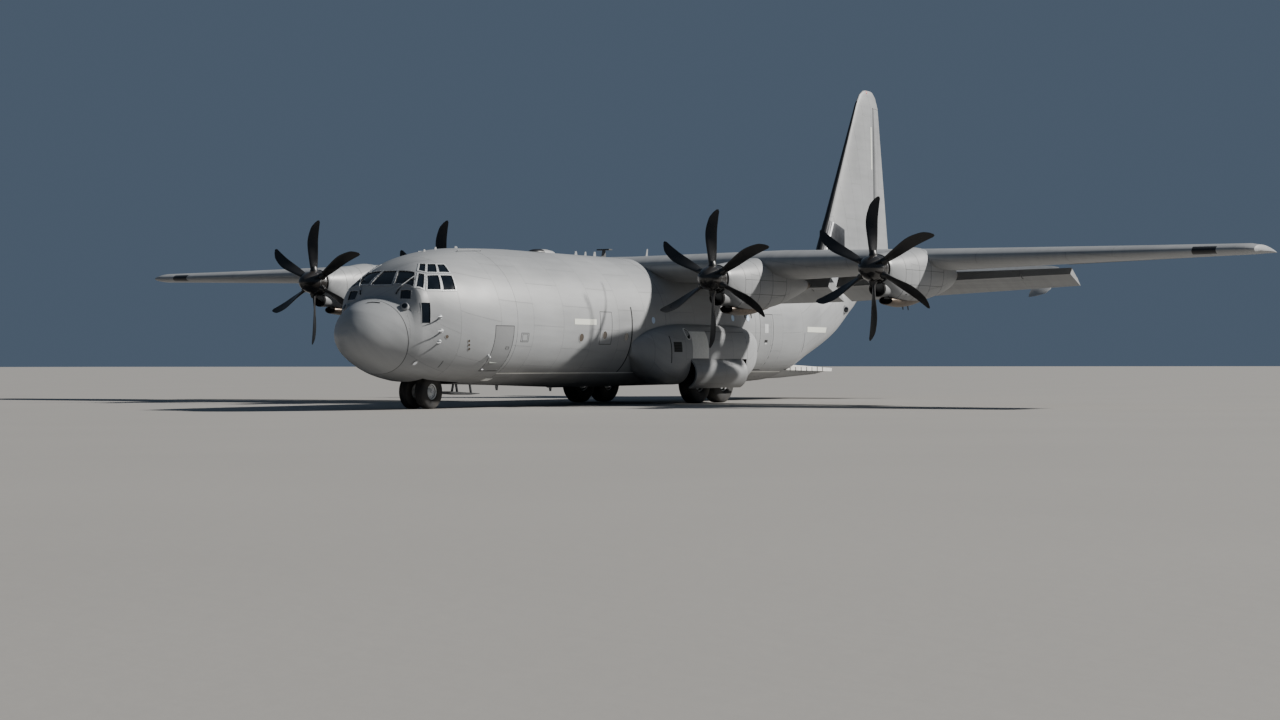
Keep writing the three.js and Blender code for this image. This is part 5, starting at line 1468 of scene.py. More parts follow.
FIN = [
    # z, leading edge y, chord, thickness share
    [4500, 27680, 6875, 0.125],
    [11200, 31430, 2000, 0.11],
    [11600, 31760, 1430, 0.1],
    [11780, 32080, 850, 0.07],
    [11810, 32280, 480, 0.05],
]
TAILPLANE = [
    # x, leading edge y, chord, thickness share
    [300, 28700, 4350, 0.11],
    [7600, 30400, 2020, 0.1],
    [7900, 30560, 1760, 0.09],
    [8020, 30800, 1300, 0.05],
]
TAILPLANE_HEIGHT = 4420
RUDDER = {"z": (5150, 11150), "hinge": (32690, 32840)}
ELEVATOR = {"x": (1000, 7350), "hinge": 31660}
HINGE_LIP = 0.35
FIN_PLATES = [
    # name, y and z of the corners, lift, columns, finish, slot
    ("fin_root_panel", [(28960, 6606), (29815, 6291), (29731, 5556), (28330, 5481)], 6, 6, "root_panel",
     "grey_paint"),
    ("fin_root_edge", [(29080, 6560), (29150, 6540), (28560, 5500), (28470, 5500)], 9, 2, "steel",
     "bare_steel"),
    ("fin_strips", [(32545, 10420), (32660, 10420), (32630, 8770), (32515, 8770)], 8, 2, "strip", "grey_paint"),
]


def tail_surface(table, unbooted, put):
    """A tapered surface through a table's rows, with a boot but for its last steps. put places a
    point by its row's key, its station and its distance from the middle."""
    keys = stations(table[0][0], table[-1][0], 500, first_column(table))
    rings = []
    for key in keys:
        _, lead, chord, thickness = row_at(table, key)
        rings.append([put(key, lead + u * chord, v * chord) for u, v in foil(thickness, 0)])
    boots = boot_rule(0.012, lambda r: r < len(keys) - unbooted)
    return Form().loft(rings, travel=keys, slot_of=boots).map_turned()


def half_thickness(table, key, y):
    _, lead, chord, thickness = row_at(table, key)
    return float(foil_half(min(max((y - lead) / chord, 0.0), 1.0), thickness)) * chord


class PLANE_OT_tail(bpy.types.Operator):
    """Makes the fin, rudder, tailplane and elevators"""

    bl_idname = "plane.tail"
    bl_label = "Tail"

    def execute(self, context):
        self.fin()
        for side, word in SIDES:
            self.tailplane(side, word)
            smooth_copy(f"elevator_{word}", f"elevator_skin_{word}", "wing", f"elevator_{word}_body")
        smooth_copy("rudder", "rudder_skin", "wing", "rudder_body")
        self.fin_fittings()
        return {"FINISHED"}

    def fin(self):
        form = tail_surface(FIN, 4, lambda z, y, out: (out, y, z))
        fin = raw_object("fin_skin", form, ("wing", "boot", "seam"))
        (z0, z1), (y0, y1) = RUDDER["z"], RUDDER["hinge"]
        half = [half_thickness(FIN, z, y) for z, y in ((z0, y0), (z1, y1))]
        lips = Form().side([(y0 - HINGE_LIP * half[0], z0 - PLAY), (FAR_AFT, z0 - PLAY), (FAR_AFT, z1 + PLAY),
                            (y1 - HINGE_LIP * half[1], z1 + PLAY)], -900, 900)
        carve(fin, [lips, hinge_space((0, y0, z0), (0, y1, z1), half)])
        settle(fin, replaces=("fin",))

    def tailplane(self, side, word):
        form = tail_surface(TAILPLANE, 3, lambda x, y, up: (side * x, y, TAILPLANE_HEIGHT + up))
        plane = raw_object(f"tailplane_skin_{word}", form, ("wing", "boot", "seam"))
        (x0, x1), y = ELEVATOR["x"], ELEVATOR["hinge"]
        half = [half_thickness(TAILPLANE, x, y) for x in (x0, x1)]
        above_and_below = (3000, 6000)
        inner, outer = side * (x0 - PLAY), side * (x1 + 2)
        # Slot 2 gives the cut faces the dark seam finish: painted shade in the elevator's gap.
        lips = Form().prism([(inner, y - HINGE_LIP * half[0]), (outer, y - HINGE_LIP * half[1]),
                             (outer, FAR_AFT), (inner, FAR_AFT)], *above_and_below, 2)
        tip = Form().box(sorted((side * (x1 - PLAY), side * 9000)), (28000, FAR_AFT), above_and_below, 2)
        axis = [(side * x, y, TAILPLANE_HEIGHT) for x in (x0, x1)]
        carve(plane, [lips, tip, hinge_space(*axis, half)])
        settle(plane, replaces=(f"tailplane_{word}",))

    def fin_fittings(self):
        """The polished panel at the fin's root, its strip lights, beacon and wicks."""
        for name, corners, lift, cols, finish_name, slot in FIN_PLATES:
            form = Form()
            for side in (1, -1):
                on_fin = lambda p, at: (side * (half_thickness(FIN, p[1], p[0]) + at), *p)
                form.slab(*(grid_between(corners, cols, 8, lambda p: on_fin(p, at)) for at in (lift, -6)))
            piece(name, form, finish_name, slot=slot)
        profile = [(0, 0.1), (0, 60), (60, 56), (100, 30), (112, 0.1)]
        piece("fin_beacon", Form().turned(profile, "z", (0, 32330, 11690), 18, closed=False), "red_lamp")
        spots = []
        for z in np.linspace(6000, 10900, 8):
            _, lead, chord, _ = row_at(FIN, z)
            spots.append(((0, lead + chord + 20, z), (0, 1, 0.05)))
        studs("rudder_wicks", spots, **WICK, body="rudder_body")


# Engines

PROP_PLANE, COWL_FRONT = 11410, 11660
ENGINES = [
    # x, hub height, tail station
    (4930, 3770, 17300),
    (10160, 3950, 16900),
]
COWL = [
    # y, top, bottom, side, mid, upper power, lower power
    [COWL_FRONT, 430, -450, 430, 0, 2, 2],
    [11900, 460, -600, 460, 0, 2, 2.2],
    [12500, 540, -860, 540, -100, 2.2, 2.4],
    [13300, 620, -920, 600, -100, 2.3, 2.5],
    [14100, 720, -880, 610, -50, 2.4, 2.5],
    [15000, 600, -750, 610, 0, 2.4, 2.5],
    [16000, 420, -530, 530, 0, 2.3, 2.4],
]
COWL_TAIL = [100, -180, 260, 0, 2, 2.2]
OIL_SCOOP = [
    # y, drop of the centre, half height, half width
    [12240, 890, 120, 220],
    [12850, 890, 170, 255],
    [13600, 830, 200, 270],
    [14700, 690, 160, 200],
]
INTAKE = {"drop": 560, "radius": 265, "bore": 215, "front": 11640}
PLACES = [(1, ENGINES[1], 1), (2, ENGINES[0], 1), (3, ENGINES[0], -1), (4, ENGINES[1], -1)]


def oval(x, y, z, wide, high, steps=40):
    return [(x + wide * math.cos(a), y, z + high * math.sin(a)) for a in ring_angles(steps)]


COWL_VENTS = [(12590, 12790, -585, -548), (12725, 12790, -725, -560)]  # limits of y, and of z from the hub
COWL_JOINTS = {"y": (12480, 13300, 14100, 15000), "z": (0, -430)}
DRAIN_MASTS = [(13250, 60), (13900, -70)]  # y, x from the engine's middle


class PLANE_OT_nacelles(bpy.types.Operator):
    """Makes the engine cowls with intakes, scoops, vents and exhausts"""

    bl_idname = "plane.nacelles"
    bl_label = "Engine nacelles"

    def execute(self, context):
        for number, (x, hub, tail), side in PLACES:
            piece(f"nacelle_skin_{number}", self.cowl(x, hub, tail).on(side),
                  ("cowl", "dark", "burnt", "seam", "pale"), replaces=(f"nacelle_{number}",))
        return {"FINISHED"}

    def cowl(self, x, hub, tail):
        steps = detail().cowl_points
        table = [*COWL, [tail, *COWL_TAIL]]
        row_of = curve_through(table)

        def ring(y, inset=0.0, at=None):
            _, top, bottom, half, mid, upper, lower = row_of(y)
            return section([y if at is None else at, hub + top, hub + bottom, half, hub + mid, upper, lower],
                           inset, steps, x)

        rings = [ring(COWL_FRONT, 60, COWL_FRONT + 40), ring(COWL_FRONT, 34, COWL_FRONT - 14),
                 ring(COWL_FRONT, 6, COWL_FRONT - 8),
                 *[ring(y) for y in stations(COWL_FRONT, tail, 150, first_column(table))],
                 ring(tail, 18, tail + 12), ring(tail, 40, tail - 30), ring(tail, 60, tail - 500)]
        # Slot 1 is near-black, painted shade inside the cowl's front ring and its open tail; slot 3 is a joint
        # and slot 2 heat stain.
        slots = [1, 3, *[0] * (len(rings) - 8), 2, 2, 2, 2, 1]
        form = Form().loft(rings, slot_of=lambda r, i: slots[r])

        z, front, radius, bore = hub - INTAKE["drop"], INTAKE["front"], INTAKE["radius"], INTAKE["bore"]
        lip = [oval(x, y, z, wide, wide * share) for wide, y, share in (
            (radius, 12900, 0.8), (radius, 12300, 0.86), (radius, front + 150, 0.9),
            (radius - 2, front + 70, 0.9), (radius - 12, front + 22, 0.9), (radius - 28, front, 0.9),
            (bore + 4, front + 14, 0.92), (bore, front + 60, 0.94), (bore * 0.86, front + 420, 0.9))]
        # The lip's front is black; the duct behind it and its closed end are near-black, painted shade.
        form.loft(lip, ends=(False, True), slot_of=lambda r, i: int(r >= 3))

        scoop = curve_through(OIL_SCOOP)
        mouth, drop, high, wide = OIL_SCOOP[0]
        rings = [oval(x, mouth + back, hub - drop, wide - inset, high - inset)
                 for back, inset in ((190, 34), (20, 26), (2, 14), (6, 4))]
        for y in stations(mouth + 20, OIL_SCOOP[-1][0], 160):
            _, drop, high, wide = scoop(y)
            rings.append(oval(x, y, hub - drop, wide, high))
        # Inside its mouth the scoop is near-black, painted shade down to its closed end; behind that it is
        # heat-stained.
        form.loft(rings, slot_of=lambda r, i: 1 if r < 1 else 2)

        # Vents low on the outboard side, drain masts and cowl joints
        flank = lambda y, dz, out: (x + half_width(row_of(y), dz) + out, y, hub + dz)
        for y0, y1, z0, z1 in COWL_VENTS:
            form.slab(*([[flank(y, dz, out) for y in (y0, y1)] for dz in (z1, z0)] for out in (5, -14)), 1)
        for y, dx in DRAIN_MASTS:
            form.tube([(x + dx, y, hub - 930), (x + dx, y + 60, hub - 1130)], [22, 14], 10, 3)
        for y in COWL_JOINTS["y"]:
            form.hoop([ring(y + dy, inset) for dy, inset in ((-5, 6), (-5, -2.5), (5, -2.5), (5, 6))], 3)
        for dz in COWL_JOINTS["z"]:
            form.loft([[flank(y, dz + up, out) for out, up in ((-6, -5), (3, -5), (3, 5), (-6, 5))]
                       for y in stations(COWL_JOINTS["y"][0], COWL_JOINTS["y"][-1], 280)], 3)
        return form


BLADES = 6
BLADE = [
    # radius, chord, thickness, pitch degrees, sweep back
    [300, 200, 130, 62, 0],
    [750, 300, 70, 50, -20],
    [1300, 350, 38, 36, -45],
    [1800, 280, 20, 29, 30],
    [2055, 110, 10, 26, 150],
]
TIP_START = 1990
SPINNER = {"tip": -670, "back": 200, "radius": 400}


class PLANE_OT_propellers(bpy.types.Operator):
    """Makes the six-bladed propellers and their spinners"""

    bl_idname = "plane.propellers"
    bl_label = "Propellers"

    def execute(self, context):
        for number, (x, hub, _), side in PLACES:
            form = Form()
            self.spinner(form, x * side, hub)
            for k in range(BLADES):
                self.blade(form, x * side, hub, 2 * math.pi * k / BLADES)
            piece(f"propeller_skin_{number}", form, ("spinner", "blade", "steel"),
                  body=f"propeller_{number}_body", replaces=(f"propeller_{number}",), slot="blade_black")
        return {"FINISHED"}

    def spinner(self, form, x, hub):
        tip, back, radius = SPINNER["tip"], SPINNER["back"], SPINNER["radius"]
        turns = np.linspace(0.02, math.pi / 2, 32)
        profile = [(back - (back - tip) * math.cos(a), radius * math.sin(a)) for a in turns]
        profile += [(back + 6, radius - 8), (back + 8, 160), (-30, 158), (-60, 0.5)]
        form.turned(profile, "y", (x, PROP_PLANE, hub), 64, closed=False)
        for at in (-110, 130):
            r = radius * math.sqrt(1 - ((back - at) / (back - tip)) ** 2)
            form.turned([(at - 5, r - 6), (at - 5, r + 1), (at + 5, r + 2), (at + 5, r - 6)], "y",
                        (x, PROP_PLANE, hub), 64, 2)

    def blade(self, form, x, hub, turn):
        row_of = curve_through(BLADE)
        rings = []
        for radius in [*np.linspace(BLADE[0][0], TIP_START, 26), 2020, 2042, 2053]:
            _, chord, thick, pitch, sweep = row_of(radius)
            if radius > TIP_START:
                chord *= 1 - 0.5 * (radius - TIP_START) / (BLADE[-1][0] - TIP_START)
            pitch = math.radians(pitch)
            ring = []
            for a in ring_angles(26):
                along = chord / 2 * math.cos(a) + sweep
                bulge = math.sin(a) * (0.72 - 0.28 * math.cos(a))
                across = thick / 2 * bulge * 1.35 + 0.04 * chord * math.sin(a) ** 2
                across = max(-thick * 0.6, min(thick * 0.75, across))
                ring.append((along * math.cos(pitch) - across * math.sin(pitch),
                             along * math.sin(pitch) + across * math.cos(pitch), radius))
            rings.append(ring)
        cuff = [[(wide * math.cos(a) * 0.8, wide * math.sin(a), radius) for a in ring_angles(24)]
                for radius, wide in ((330, 150), (400, 150), (470, 118), (520, 96))]
        c, s = math.cos(turn), math.sin(turn)
        for upright in (rings, cuff):
            form.loft([[(x + px * c + pz * s, PROP_PLANE + py, hub - px * s + pz * c) for px, py, pz in ring]
                       for ring in upright], 1)


# Main landing gear

WHEEL_TRACK, WHEEL_STATIONS = 2175, (15150, 16690)
MAIN_WHEEL = {"radius": 690, "half": 255, "height": 690}
SPONSON = [
    # y, half width, top, bottom
    [11420, 120, 1950, 1500],
    [11800, 360, 2110, 1230],
    [12500, 610, 2320, 800],
    [13400, 735, 2450, 600],
    [14200, 740, 2500, 600],
    [17700, 740, 2500, 600],
    [18600, 560, 2360, 900],
    [19250, 250, 2150, 1400],
]
SPONSON_X, SPONSON_POWER = 1990, 2.6
# The square vent is a near-black plate: painted shade inside the opening.
SPONSON_VENT = (0, 3, 13005, 13440, 1613, 1921)
SPONSON_PLATES = [
    # slot, lift, limits of y and z: the pale panel, whose paleness is partly painted sunlight, a dark slot and
    # two joints
    (1, 5, 14085, 15090, 1420, 2262),
    (0, 3, 12860, 12892, 1273, 2103),
    (2, 3, 15120, 17650, 2262, 2273),
    (2, 3, 17640, 17652, 700, 2300),
]
OUTLET = {"y": 13920, "z": 2175, "hole": (118, 158), "lip": (146, 186)}
BAY = {"x0": 1500, "x1": 2570, "y0": 14150, "y1": 17600, "roof": 1640, "door_top": 1400}
STRUT_X = 1770


def wheel_form(centre, radius, half, steps, grooves, hub_out):
    """A tyre with grooves and beads, and a dished rim. hub_out is the outer face's side."""
    # Places along the axle and radii, from the bead over the wall to the tread
    side = [
        (half * 0.62, radius * 0.44), (half * 0.80, radius * 0.47), (half * 0.93, radius * 0.53),
        (half * 1.0, radius * 0.64), (half * 0.99, radius * 0.76), (half * 0.93, radius * 0.87),
        (half * 0.84, radius * 0.945), (half * 0.72, radius * 0.985),
    ]
    tread = []
    edge = side[0][0]
    for k in range(grooves):
        at = edge - (2 * edge) * (k + 0.5) / grooves
        crown = radius * (1 - 0.012 * (at / edge) ** 2)
        for shift, depth in ((16, 0), (11, 13), (-11, 13), (-16, 0)):
            tread.append((at + shift, crown - depth))
    seat = [(-half * 0.55, radius * 0.38), (half * 0.55, radius * 0.38)]
    outer = [*side, *tread, *((-a, r) for a, r in reversed(side)), *seat]
    tyre = Form().turned(outer, "x", centre, steps)
    flange = radius * 0.46
    profile = [(half * 0.66, flange), (half * 0.72, flange - 6), (half * 0.66, flange - 20),
               (half * 0.3, flange - 60),
               (half * 0.22, radius * 0.24), (half * 0.42, radius * 0.19), (half * 0.60, radius * 0.15),
               (half * 0.60, radius * 0.045), (-half * 0.60, radius * 0.045), (-half * 0.6, radius * 0.15),
               (-half * 0.3, radius * 0.24), (-half * 0.34, flange - 60), (-half * 0.66, flange - 20),
               (-half * 0.72, flange - 6), (-half * 0.66, flange)]
    return tyre, Form().turned([(a * hub_out, r) for a, r in profile], "x", centre, steps)


def wheel_bolts(centre, radius, half, hub_out, count=10):
    x, y, z = centre
    return [((x + hub_out * half * 0.28, y + radius * 0.3 * math.cos(a), z + radius * 0.3 * math.sin(a)),
             (hub_out, 0, 0)) for a in ring_angles(count)]


class PLANE_OT_main_gear(bpy.types.Operator):
    """Makes the sponsons, their doors, and the main wheels and legs"""

    bl_idname = "plane.main_gear"
    bl_label = "Main landing gear"

    def execute(self, context):
        for side, word in SIDES:
            self.sponson(side, word)
            for y, name in zip(WHEEL_STATIONS, ("front", "rear")):
                self.wheel(side, word, y, name)
            smooth_copy(f"gear_door_{word}", f"gear_door_skin_{word}", "paint", "airframe")
            self.legs(side, word)
        return {"FINISHED"}

    def sponson(self, side, word):
        shape = curve_through(SPONSON)

        def row_of(y):
            _, half, top, bottom = shape(y)
            return [y, top, bottom, half, (top + bottom) / 2, SPONSON_POWER, SPONSON_POWER]

        ys = stations(SPONSON[0][0], SPONSON[-1][0], 180, first_column(SPONSON))
        form = Form().loft([section(row_of(y), 0, 64, SPONSON_X) for y in ys], travel=ys)
        bay = Form().box((BAY["x0"], BAY["x1"]), (BAY["y0"], BAY["y1"]), (0, BAY["roof"]), 1)
        space = Form().box((BAY["x0"], 3200), (BAY["y0"] - 170, BAY["y1"]), (0, BAY["door_top"]), 1)
        body = raw_object(f"sponson_skin_{word}", form.on(side), ("paint", "dark"))
        # The bay's cut walls take the near-black finish: painted shade in the wheel bay.
        carve(body, [bay.on(side), space.on(side)])
        settle(body, replaces=(f"sponson_{word}",))

        extra = Form()

        def on_side(y, z, lift):
            return (SPONSON_X + half_width(row_of(y), z) + lift, y, z)

        def flat(slot, lift, y0, y1, z0, z1):
            extra.slab(*([[on_side(y, z, at) for y in np.linspace(y0, y1, 6)]
                          for z in np.linspace(z1, z0, 10)] for at in (lift, -30)), slot)

        def oval_on_side(wide, high, lift):
            return [on_side(OUTLET["y"] + wide * math.cos(a), OUTLET["z"] + high * math.sin(a), lift)
                    for a in ring_angles(24)]

        slats = [(2, 7, 13015, 13430, z - 7, z + 7) for z in np.linspace(1650, 1885, 6)]
        for each in (SPONSON_VENT, *slats, *SPONSON_PLATES):
            flat(*each)
        hole, lip = OUTLET["hole"], OUTLET["lip"]
        # The outlet's hole is near-black to its closed bottom: painted shade.
        extra.loft([oval_on_side(*hole, -30), oval_on_side(*hole, 5)])
        extra.hoop([oval_on_side(*size, lift)
                    for size, lift in ((hole, -20), (hole, 14), (lip, 14), (lip, -20))], 1)
        piece(f"sponson_fittings_{word}", extra.on(side), ("dark", "light_panel", "seam"))

    def wheel(self, side, word, y, name):
        centre = (side * WHEEL_TRACK, y, MAIN_WHEEL["height"])
        radius, half = MAIN_WHEEL["radius"], MAIN_WHEEL["half"]
        body = f"{name}_main_wheel_{word}_body"
        tyre, rim = wheel_form(centre, radius, half, detail().wheel_points, 5, side)
        piece(f"{name}_main_tyre_{word}", tyre, "tyre", body=body, replaces=(f"{name}_main_wheel_{word}",),
              slot="tyre_black", angle=50)
        piece(f"{name}_main_rim_{word}", rim, "rim", body=body, slot="gear_white")
        studs(f"{name}_main_wheel_bolts_{word}", wheel_bolts(centre, radius, half, side), 0.008, 0.016,
              "steel", sides=6, body=body, slot="bare_steel")

    def legs(self, side, word):
        form = Form()
        for y in WHEEL_STATIONS:
            form.tube([(STRUT_X, y, 600), (STRUT_X, y, 1150)], 85, 28, 0)
            form.tube([(STRUT_X, y, 1130), (STRUT_X, y, 1150), (STRUT_X, y, 1980)], [88, 112, 112], 28, 0)
            form.tube([(STRUT_X, y, 690), (WHEEL_TRACK - 160, y, 690)], 110, 28, 0)
            form.tube([(STRUT_X, y, 690), (WHEEL_TRACK + 225, y, 690)], 58, 20, 1)
            form.tube([(1955, y, 690), (1990, y, 690)], [205, 205], 28, 2)
            form.tube([(STRUT_X, y - 130, 820), (STRUT_X, y - 130, 1800)], 16, 10, 2)
        form.box((STRUT_X - 55, STRUT_X + 55), WHEEL_STATIONS, (820, 960))
        piece(f"main_leg_skin_{word}", form.on(side), ("white", "chrome", "steel"),
              replaces=(f"main_gear_leg_{word}",), slot="gear_white")


# Nose landing gear

NOSE_GEAR = {"y": 3600, "radius": 480, "half": 165, "x": 270}


class PLANE_OT_nose_gear(bpy.types.Operator):
    """Makes the nose leg, fork, wheels and doors"""

    bl_idname = "plane.nose_gear"
    bl_label = "Nose landing gear"

    def execute(self, context):
        y, radius, half = NOSE_GEAR["y"], NOSE_GEAR["radius"], NOSE_GEAR["half"]
        for side, word in SIDES:
            centre = (side * NOSE_GEAR["x"], y, radius)
            tyre, rim = wheel_form(centre, radius, half, detail().wheel_points, 3, side)
            piece(f"nose_tyre_{word}", tyre, "tyre", body="nose_wheels", replaces=(f"nose_wheel_{word}",),
                  slot="tyre_black", angle=50)
            piece(f"nose_rim_{word}", rim, "rim", body="nose_wheels", slot="gear_white")
            studs(f"nose_wheel_bolts_{word}", wheel_bolts(centre, radius, half, side, 8), 0.006, 0.012,
                  "steel", sides=6, body="nose_wheels", slot="bare_steel")
        fork = Form()
        fork.tube([(0, y, 400), (0, y, 640)], 92, 28, 0)
        fork.tube([(0, y, 620), (0, y, 1238)], 74, 28, 1)
        fork.tube([(-166, y, radius), (166, y, radius)], 81, 24, 0)
        fork.tube([(-405, y, radius), (405, y, radius)], 48, 20, 2)
        for dx in (-34, 34):
            fork.side([(y + 80, 560), (y + 230, 760), (y + 215, 780), (y + 70, 620)], dx - 9, dx + 9, 0)
        piece("nose_fork_skin", fork, ("white", "chrome", "steel"), body="nose_steering",
              replaces=("nose_gear_fork",), slot="gear_white")

        sleeve = [(1001, 79), (1001, 115), (1040, 128), (1080, 128), (1090, 115), (1458, 115), (1458, 79)]
        leg = Form().turned(sleeve, "z", (0, y, 0), 32)
        for side in (1, -1):
            leg.tube([(side * 100, y - 40, 1100), (side * 420, y - 700, 1440)], 30, 14)
            leg.tube([(side * 150, y + 60, 1260), (side * 150, y + 420, 1300)], 36, 14)
        piece("nose_leg_skin", leg, "white", replaces=("nose_gear_leg",), slot="gear_white")
        smooth_copy("nose_gear_door", "nose_gear_door_skin", "paint_plain", "airframe")

        piece("taxi_light", Form().tube([(0, y - 150, 1130), (0, y - 190, 1130)], 80, 24), "clear_lamp")
        return {"FINISHED"}


# Ramp, cargo door and hold

FLOOR_TOP, RAMP_TOP = 1040, 1038
ROLLER_LANES = (-900, -300, 300, 900)
ROLLER_ROWS = {"ramp": (22800, 25900, 160), "floor": (6200, 22200, 320)}  # first, end, pitch
RAMP_RAILS = {"x": (-1010, -790, -410, -190, 190, 410, 790, 1010), "y": (22700, 25950)}
RAMP_BRACKETS = {"rows": (23000, 25521, 420), "z": (985, 1140)}
RIBS = {"y": (5900, 21900), "top": 4350}
WING_BOX = (13700, 18900)
SEATS = {"y": (6300, 13200), "pan": ((1490, 1890), (1440, 1465)), "back": ((1880, 1905), (1500, 2150))}
SEAT_LEGS = {"x": 1500, "z": (1052, 1440), "pitch": 690}


class PLANE_OT_hold(bpy.types.Operator):
    """Finishes the ramp, the cargo door and the hold"""

    bl_idname = "plane.hold"
    bl_label = "Ramp and hold"

    def execute(self, context):
        smooth_copy("cargo_door", "cargo_door_skin", "paint", "cargo_door_body")
        ramp = smooth_copy("cargo_ramp", "cargo_ramp_skin", "ramp", "cargo_ramp_body", "ramp_yellow")
        for name in ("ramp_side", "paint_plain"):
            ramp.data.materials.append(finish(name))
        for face in ramp.data.polygons:
            upright = abs(face.normal.x) > 0.97
            if face.normal.z < -0.12 and not upright:
                face.material_index = 2
            elif upright or abs(face.center.x) > RAMP["yellow_half"] * SCALE:
                face.material_index = 1
        half = RAMP["half"]
        self.rollers("ramp_rollers", ROLLER_ROWS["ramp"], RAMP_TOP + 22, 0.009, sides=10,
                     body="cargo_ramp_body")
        rails = Form()
        for x in RAMP_RAILS["x"]:
            rails.box((x - 9, x + 9), RAMP_RAILS["y"], (RAMP_TOP - 2, RAMP_TOP + 24))
        for side in (1, -1):
            for y in np.arange(*RAMP_BRACKETS["rows"]):
                across = sorted((side * (half - 2), side * (half + 6)))
                rails.box(across, (y - 22, y + 22), RAMP_BRACKETS["z"], 1)
        piece("ramp_rails", rails, ("ramp_side", "dark"), body="cargo_ramp_body", slot="ramp_yellow")

        self.rollers("floor_rollers", ROLLER_ROWS["floor"], FLOOR_TOP + 14, 0.007, sides=8)
        self.ribs()
        self.seats()
        return {"FINISHED"}

    def rollers(self, name, rows, height, radius, **settings):
        """Rows of rollers across the load's four lanes."""
        spots = [((x, y, height), (1, 0, 0)) for y in np.arange(*rows) for x in ROLLER_LANES]
        studs(name, spots, radius, 0.16, "steel", slot="bare_steel", **settings)

    def ribs(self):
        """Frames round the hold's wall, one mesh of repeated blocks, but none at the wing's box."""
        spots = []
        for y in np.arange(*RIBS["y"], detail().rib_pitch / SCALE):
            if WING_BOX[0] < y < WING_BOX[1]:
                continue
            ring = section(hull_row(y), SKIN + 26, 40)
            for k, (x, _, z) in enumerate(ring):
                if FLOOR_TOP + 60 <= z <= RIBS["top"]:
                    spots.append(((x, y, z), Vector(ring[(k + 1) % len(ring)]) - Vector(ring[k - 1])))
        blocks("hold_ribs", spots, 0.028, 0.02, 0.19, "lining", slot="cabin_grey")

    def seats(self):
        form = Form()
        for side in (1, -1):
            for x, z in (SEATS["pan"], SEATS["back"]):
                form.box(sorted(side * each for each in x), SEATS["y"], z)
            for y in np.arange(SEATS["y"][0], SEATS["y"][1] + 1, SEAT_LEGS["pitch"]):
                form.tube([(side * SEAT_LEGS["x"], y, z) for z in SEAT_LEGS["z"]], 14, 8, 1)
        piece("side_seats", form, ("webbing", "steel"), slot="cabin_grey")


CAD_FINISHES = {
    "cargo_floor": "floor",
    "cockpit_bulkhead": "cabin",
    "flight_deck": "floor",
    "nose_gear_well": "white",
    "instrument_panel": "cabin",
    "pilot_seat_left": "cabin",
    "pilot_seat_right": "cabin",
}


class PLANE_OT_inside(bpy.types.Operator):
    """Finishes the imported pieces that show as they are"""

    bl_idname = "plane.inside"
    bl_label = "Inside pieces"

    def execute(self, context):
        for node, name in CAD_FINISHES.items():
            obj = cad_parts[node]
            obj.data.materials.clear()
            obj.data.materials.append(finish(name))
        return {"FINISHED"}


# Stage

CAMERA = {"place": (18.851, -32.289, 0.611), "yaw": -31.054, "pitch": 0.119, "roll": -0.057, "lens": 63.713}


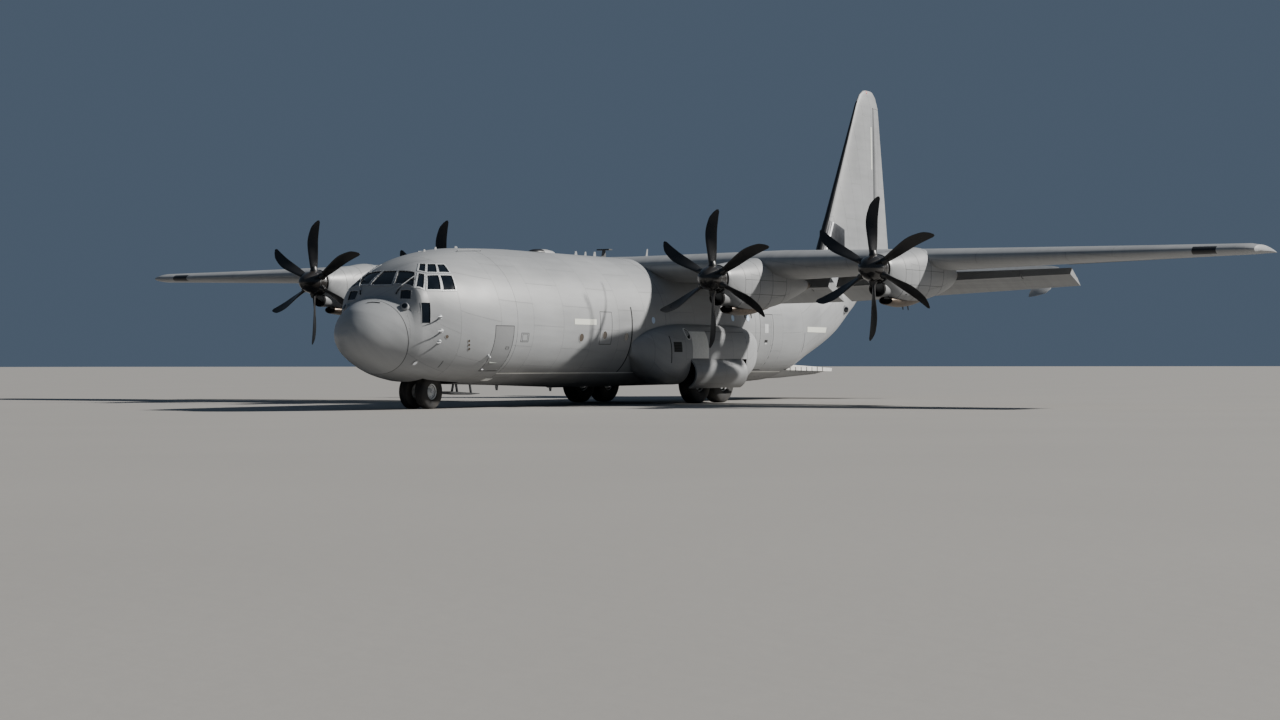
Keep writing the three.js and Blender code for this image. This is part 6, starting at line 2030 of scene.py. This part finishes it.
class PLANE_OT_stage(bpy.types.Operator):
    """Makes the floor, the lights and the camera"""

    bl_idname = "plane.stage"
    bl_label = "Stage"

    def execute(self, context):
        studio = context.scene.plane_studio
        size = 600
        corners = [(-size, -size, 0), (size, -size, 0), (size, size, 0), (-size, size, 0)]
        mesh = bpy.data.meshes.new("floor")
        mesh.from_pydata(corners, [], [(0, 1, 2, 3)])
        floor = linked("floor", mesh)
        look = Finish("studio_floor", studio.floor, 0.8)
        grain = look.noise(look.where("object"), 0.35, 6.0)
        base = tuple(studio.floor)
        look.use(look.mixed(grain, shade(base, 0.94), shade(base, 1.05)), None,
                 look.bump(look.noise(look.where("object"), 9.0, 5.0), 0.08, 0.02))
        mesh.materials.append(look.material)

        world = bpy.data.worlds.new("studio")
        context.scene.world = world
        world.use_nodes = True
        back = world.node_tree.nodes["Background"]
        back.inputs["Color"].default_value = (*studio.sky, 1)
        back.inputs["Strength"].default_value = studio.fill

        sun = linked("key_light", bpy.data.lights.new("key_light", "SUN"))
        sun.data.energy = studio.key
        sun.data.angle = math.radians(3)
        sun.data.color = (1.0, 0.965, 0.91)
        sun.rotation_mode = "QUATERNION"
        sun.rotation_quaternion = Vector((-0.65, -0.54, -0.54)).to_track_quat("-Z", "Y")
        self.camera(context)
        return {"FINISHED"}

    def camera(self, context):
        data = bpy.data.cameras.new("camera")
        data.lens = CAMERA["lens"]
        data.sensor_width = 36
        data.clip_end = 900
        yaw, pitch, roll = (math.radians(CAMERA[k]) for k in ("yaw", "pitch", "roll"))
        ahead = Vector((math.sin(yaw) * math.cos(pitch), math.cos(yaw) * math.cos(pitch), math.sin(pitch)))
        right = ahead.cross(Vector(UP)).normalized()
        up = right.cross(ahead)
        c, s = math.cos(roll), math.sin(roll)
        right, up = right * c + up * s, up * c - right * s
        camera = linked("camera", data)
        turn = Matrix((right, up, -ahead)).transposed().to_4x4()
        camera.matrix_world = Matrix.Translation(CAMERA["place"]) @ turn
        context.scene.camera = camera


class PLANE_PT_panel(bpy.types.Panel):
    """Lists the steps in the sidebar"""

    bl_label = "Transport plane"
    bl_space_type = "VIEW_3D"
    bl_region_type = "UI"
    bl_category = "Plane"

    def draw(self, context):
        for name, group in SETTINGS.items():
            box = self.layout.box()
            for key in group.__annotations__:
                box.prop(getattr(context.scene, name), key)
        for step in STEPS:
            self.layout.operator(step.bl_idname)


STEPS = (PLANE_OT_stage, PLANE_OT_inside, PLANE_OT_fuselage, PLANE_OT_windows, PLANE_OT_doors,
         PLANE_OT_fittings, PLANE_OT_wings, PLANE_OT_tail, PLANE_OT_nacelles, PLANE_OT_propellers,
         PLANE_OT_main_gear, PLANE_OT_nose_gear, PLANE_OT_hold)
CLASSES = (*SETTINGS.values(), *STEPS, PLANE_PT_panel)


def register():
    for made in CLASSES:
        bpy.utils.register_class(made)
    for name, group in SETTINGS.items():
        setattr(bpy.types.Scene, name, bpy.props.PointerProperty(type=group))


def unregister():
    for name in SETTINGS:
        delattr(bpy.types.Scene, name)
    for made in reversed(CLASSES):
        bpy.utils.unregister_class(made)


def main():
    register()
    for step in STEPS:
        group, name = step.bl_idname.split(".")
        getattr(getattr(bpy.ops, group), name)()


if __name__ == "__main__":
    main()
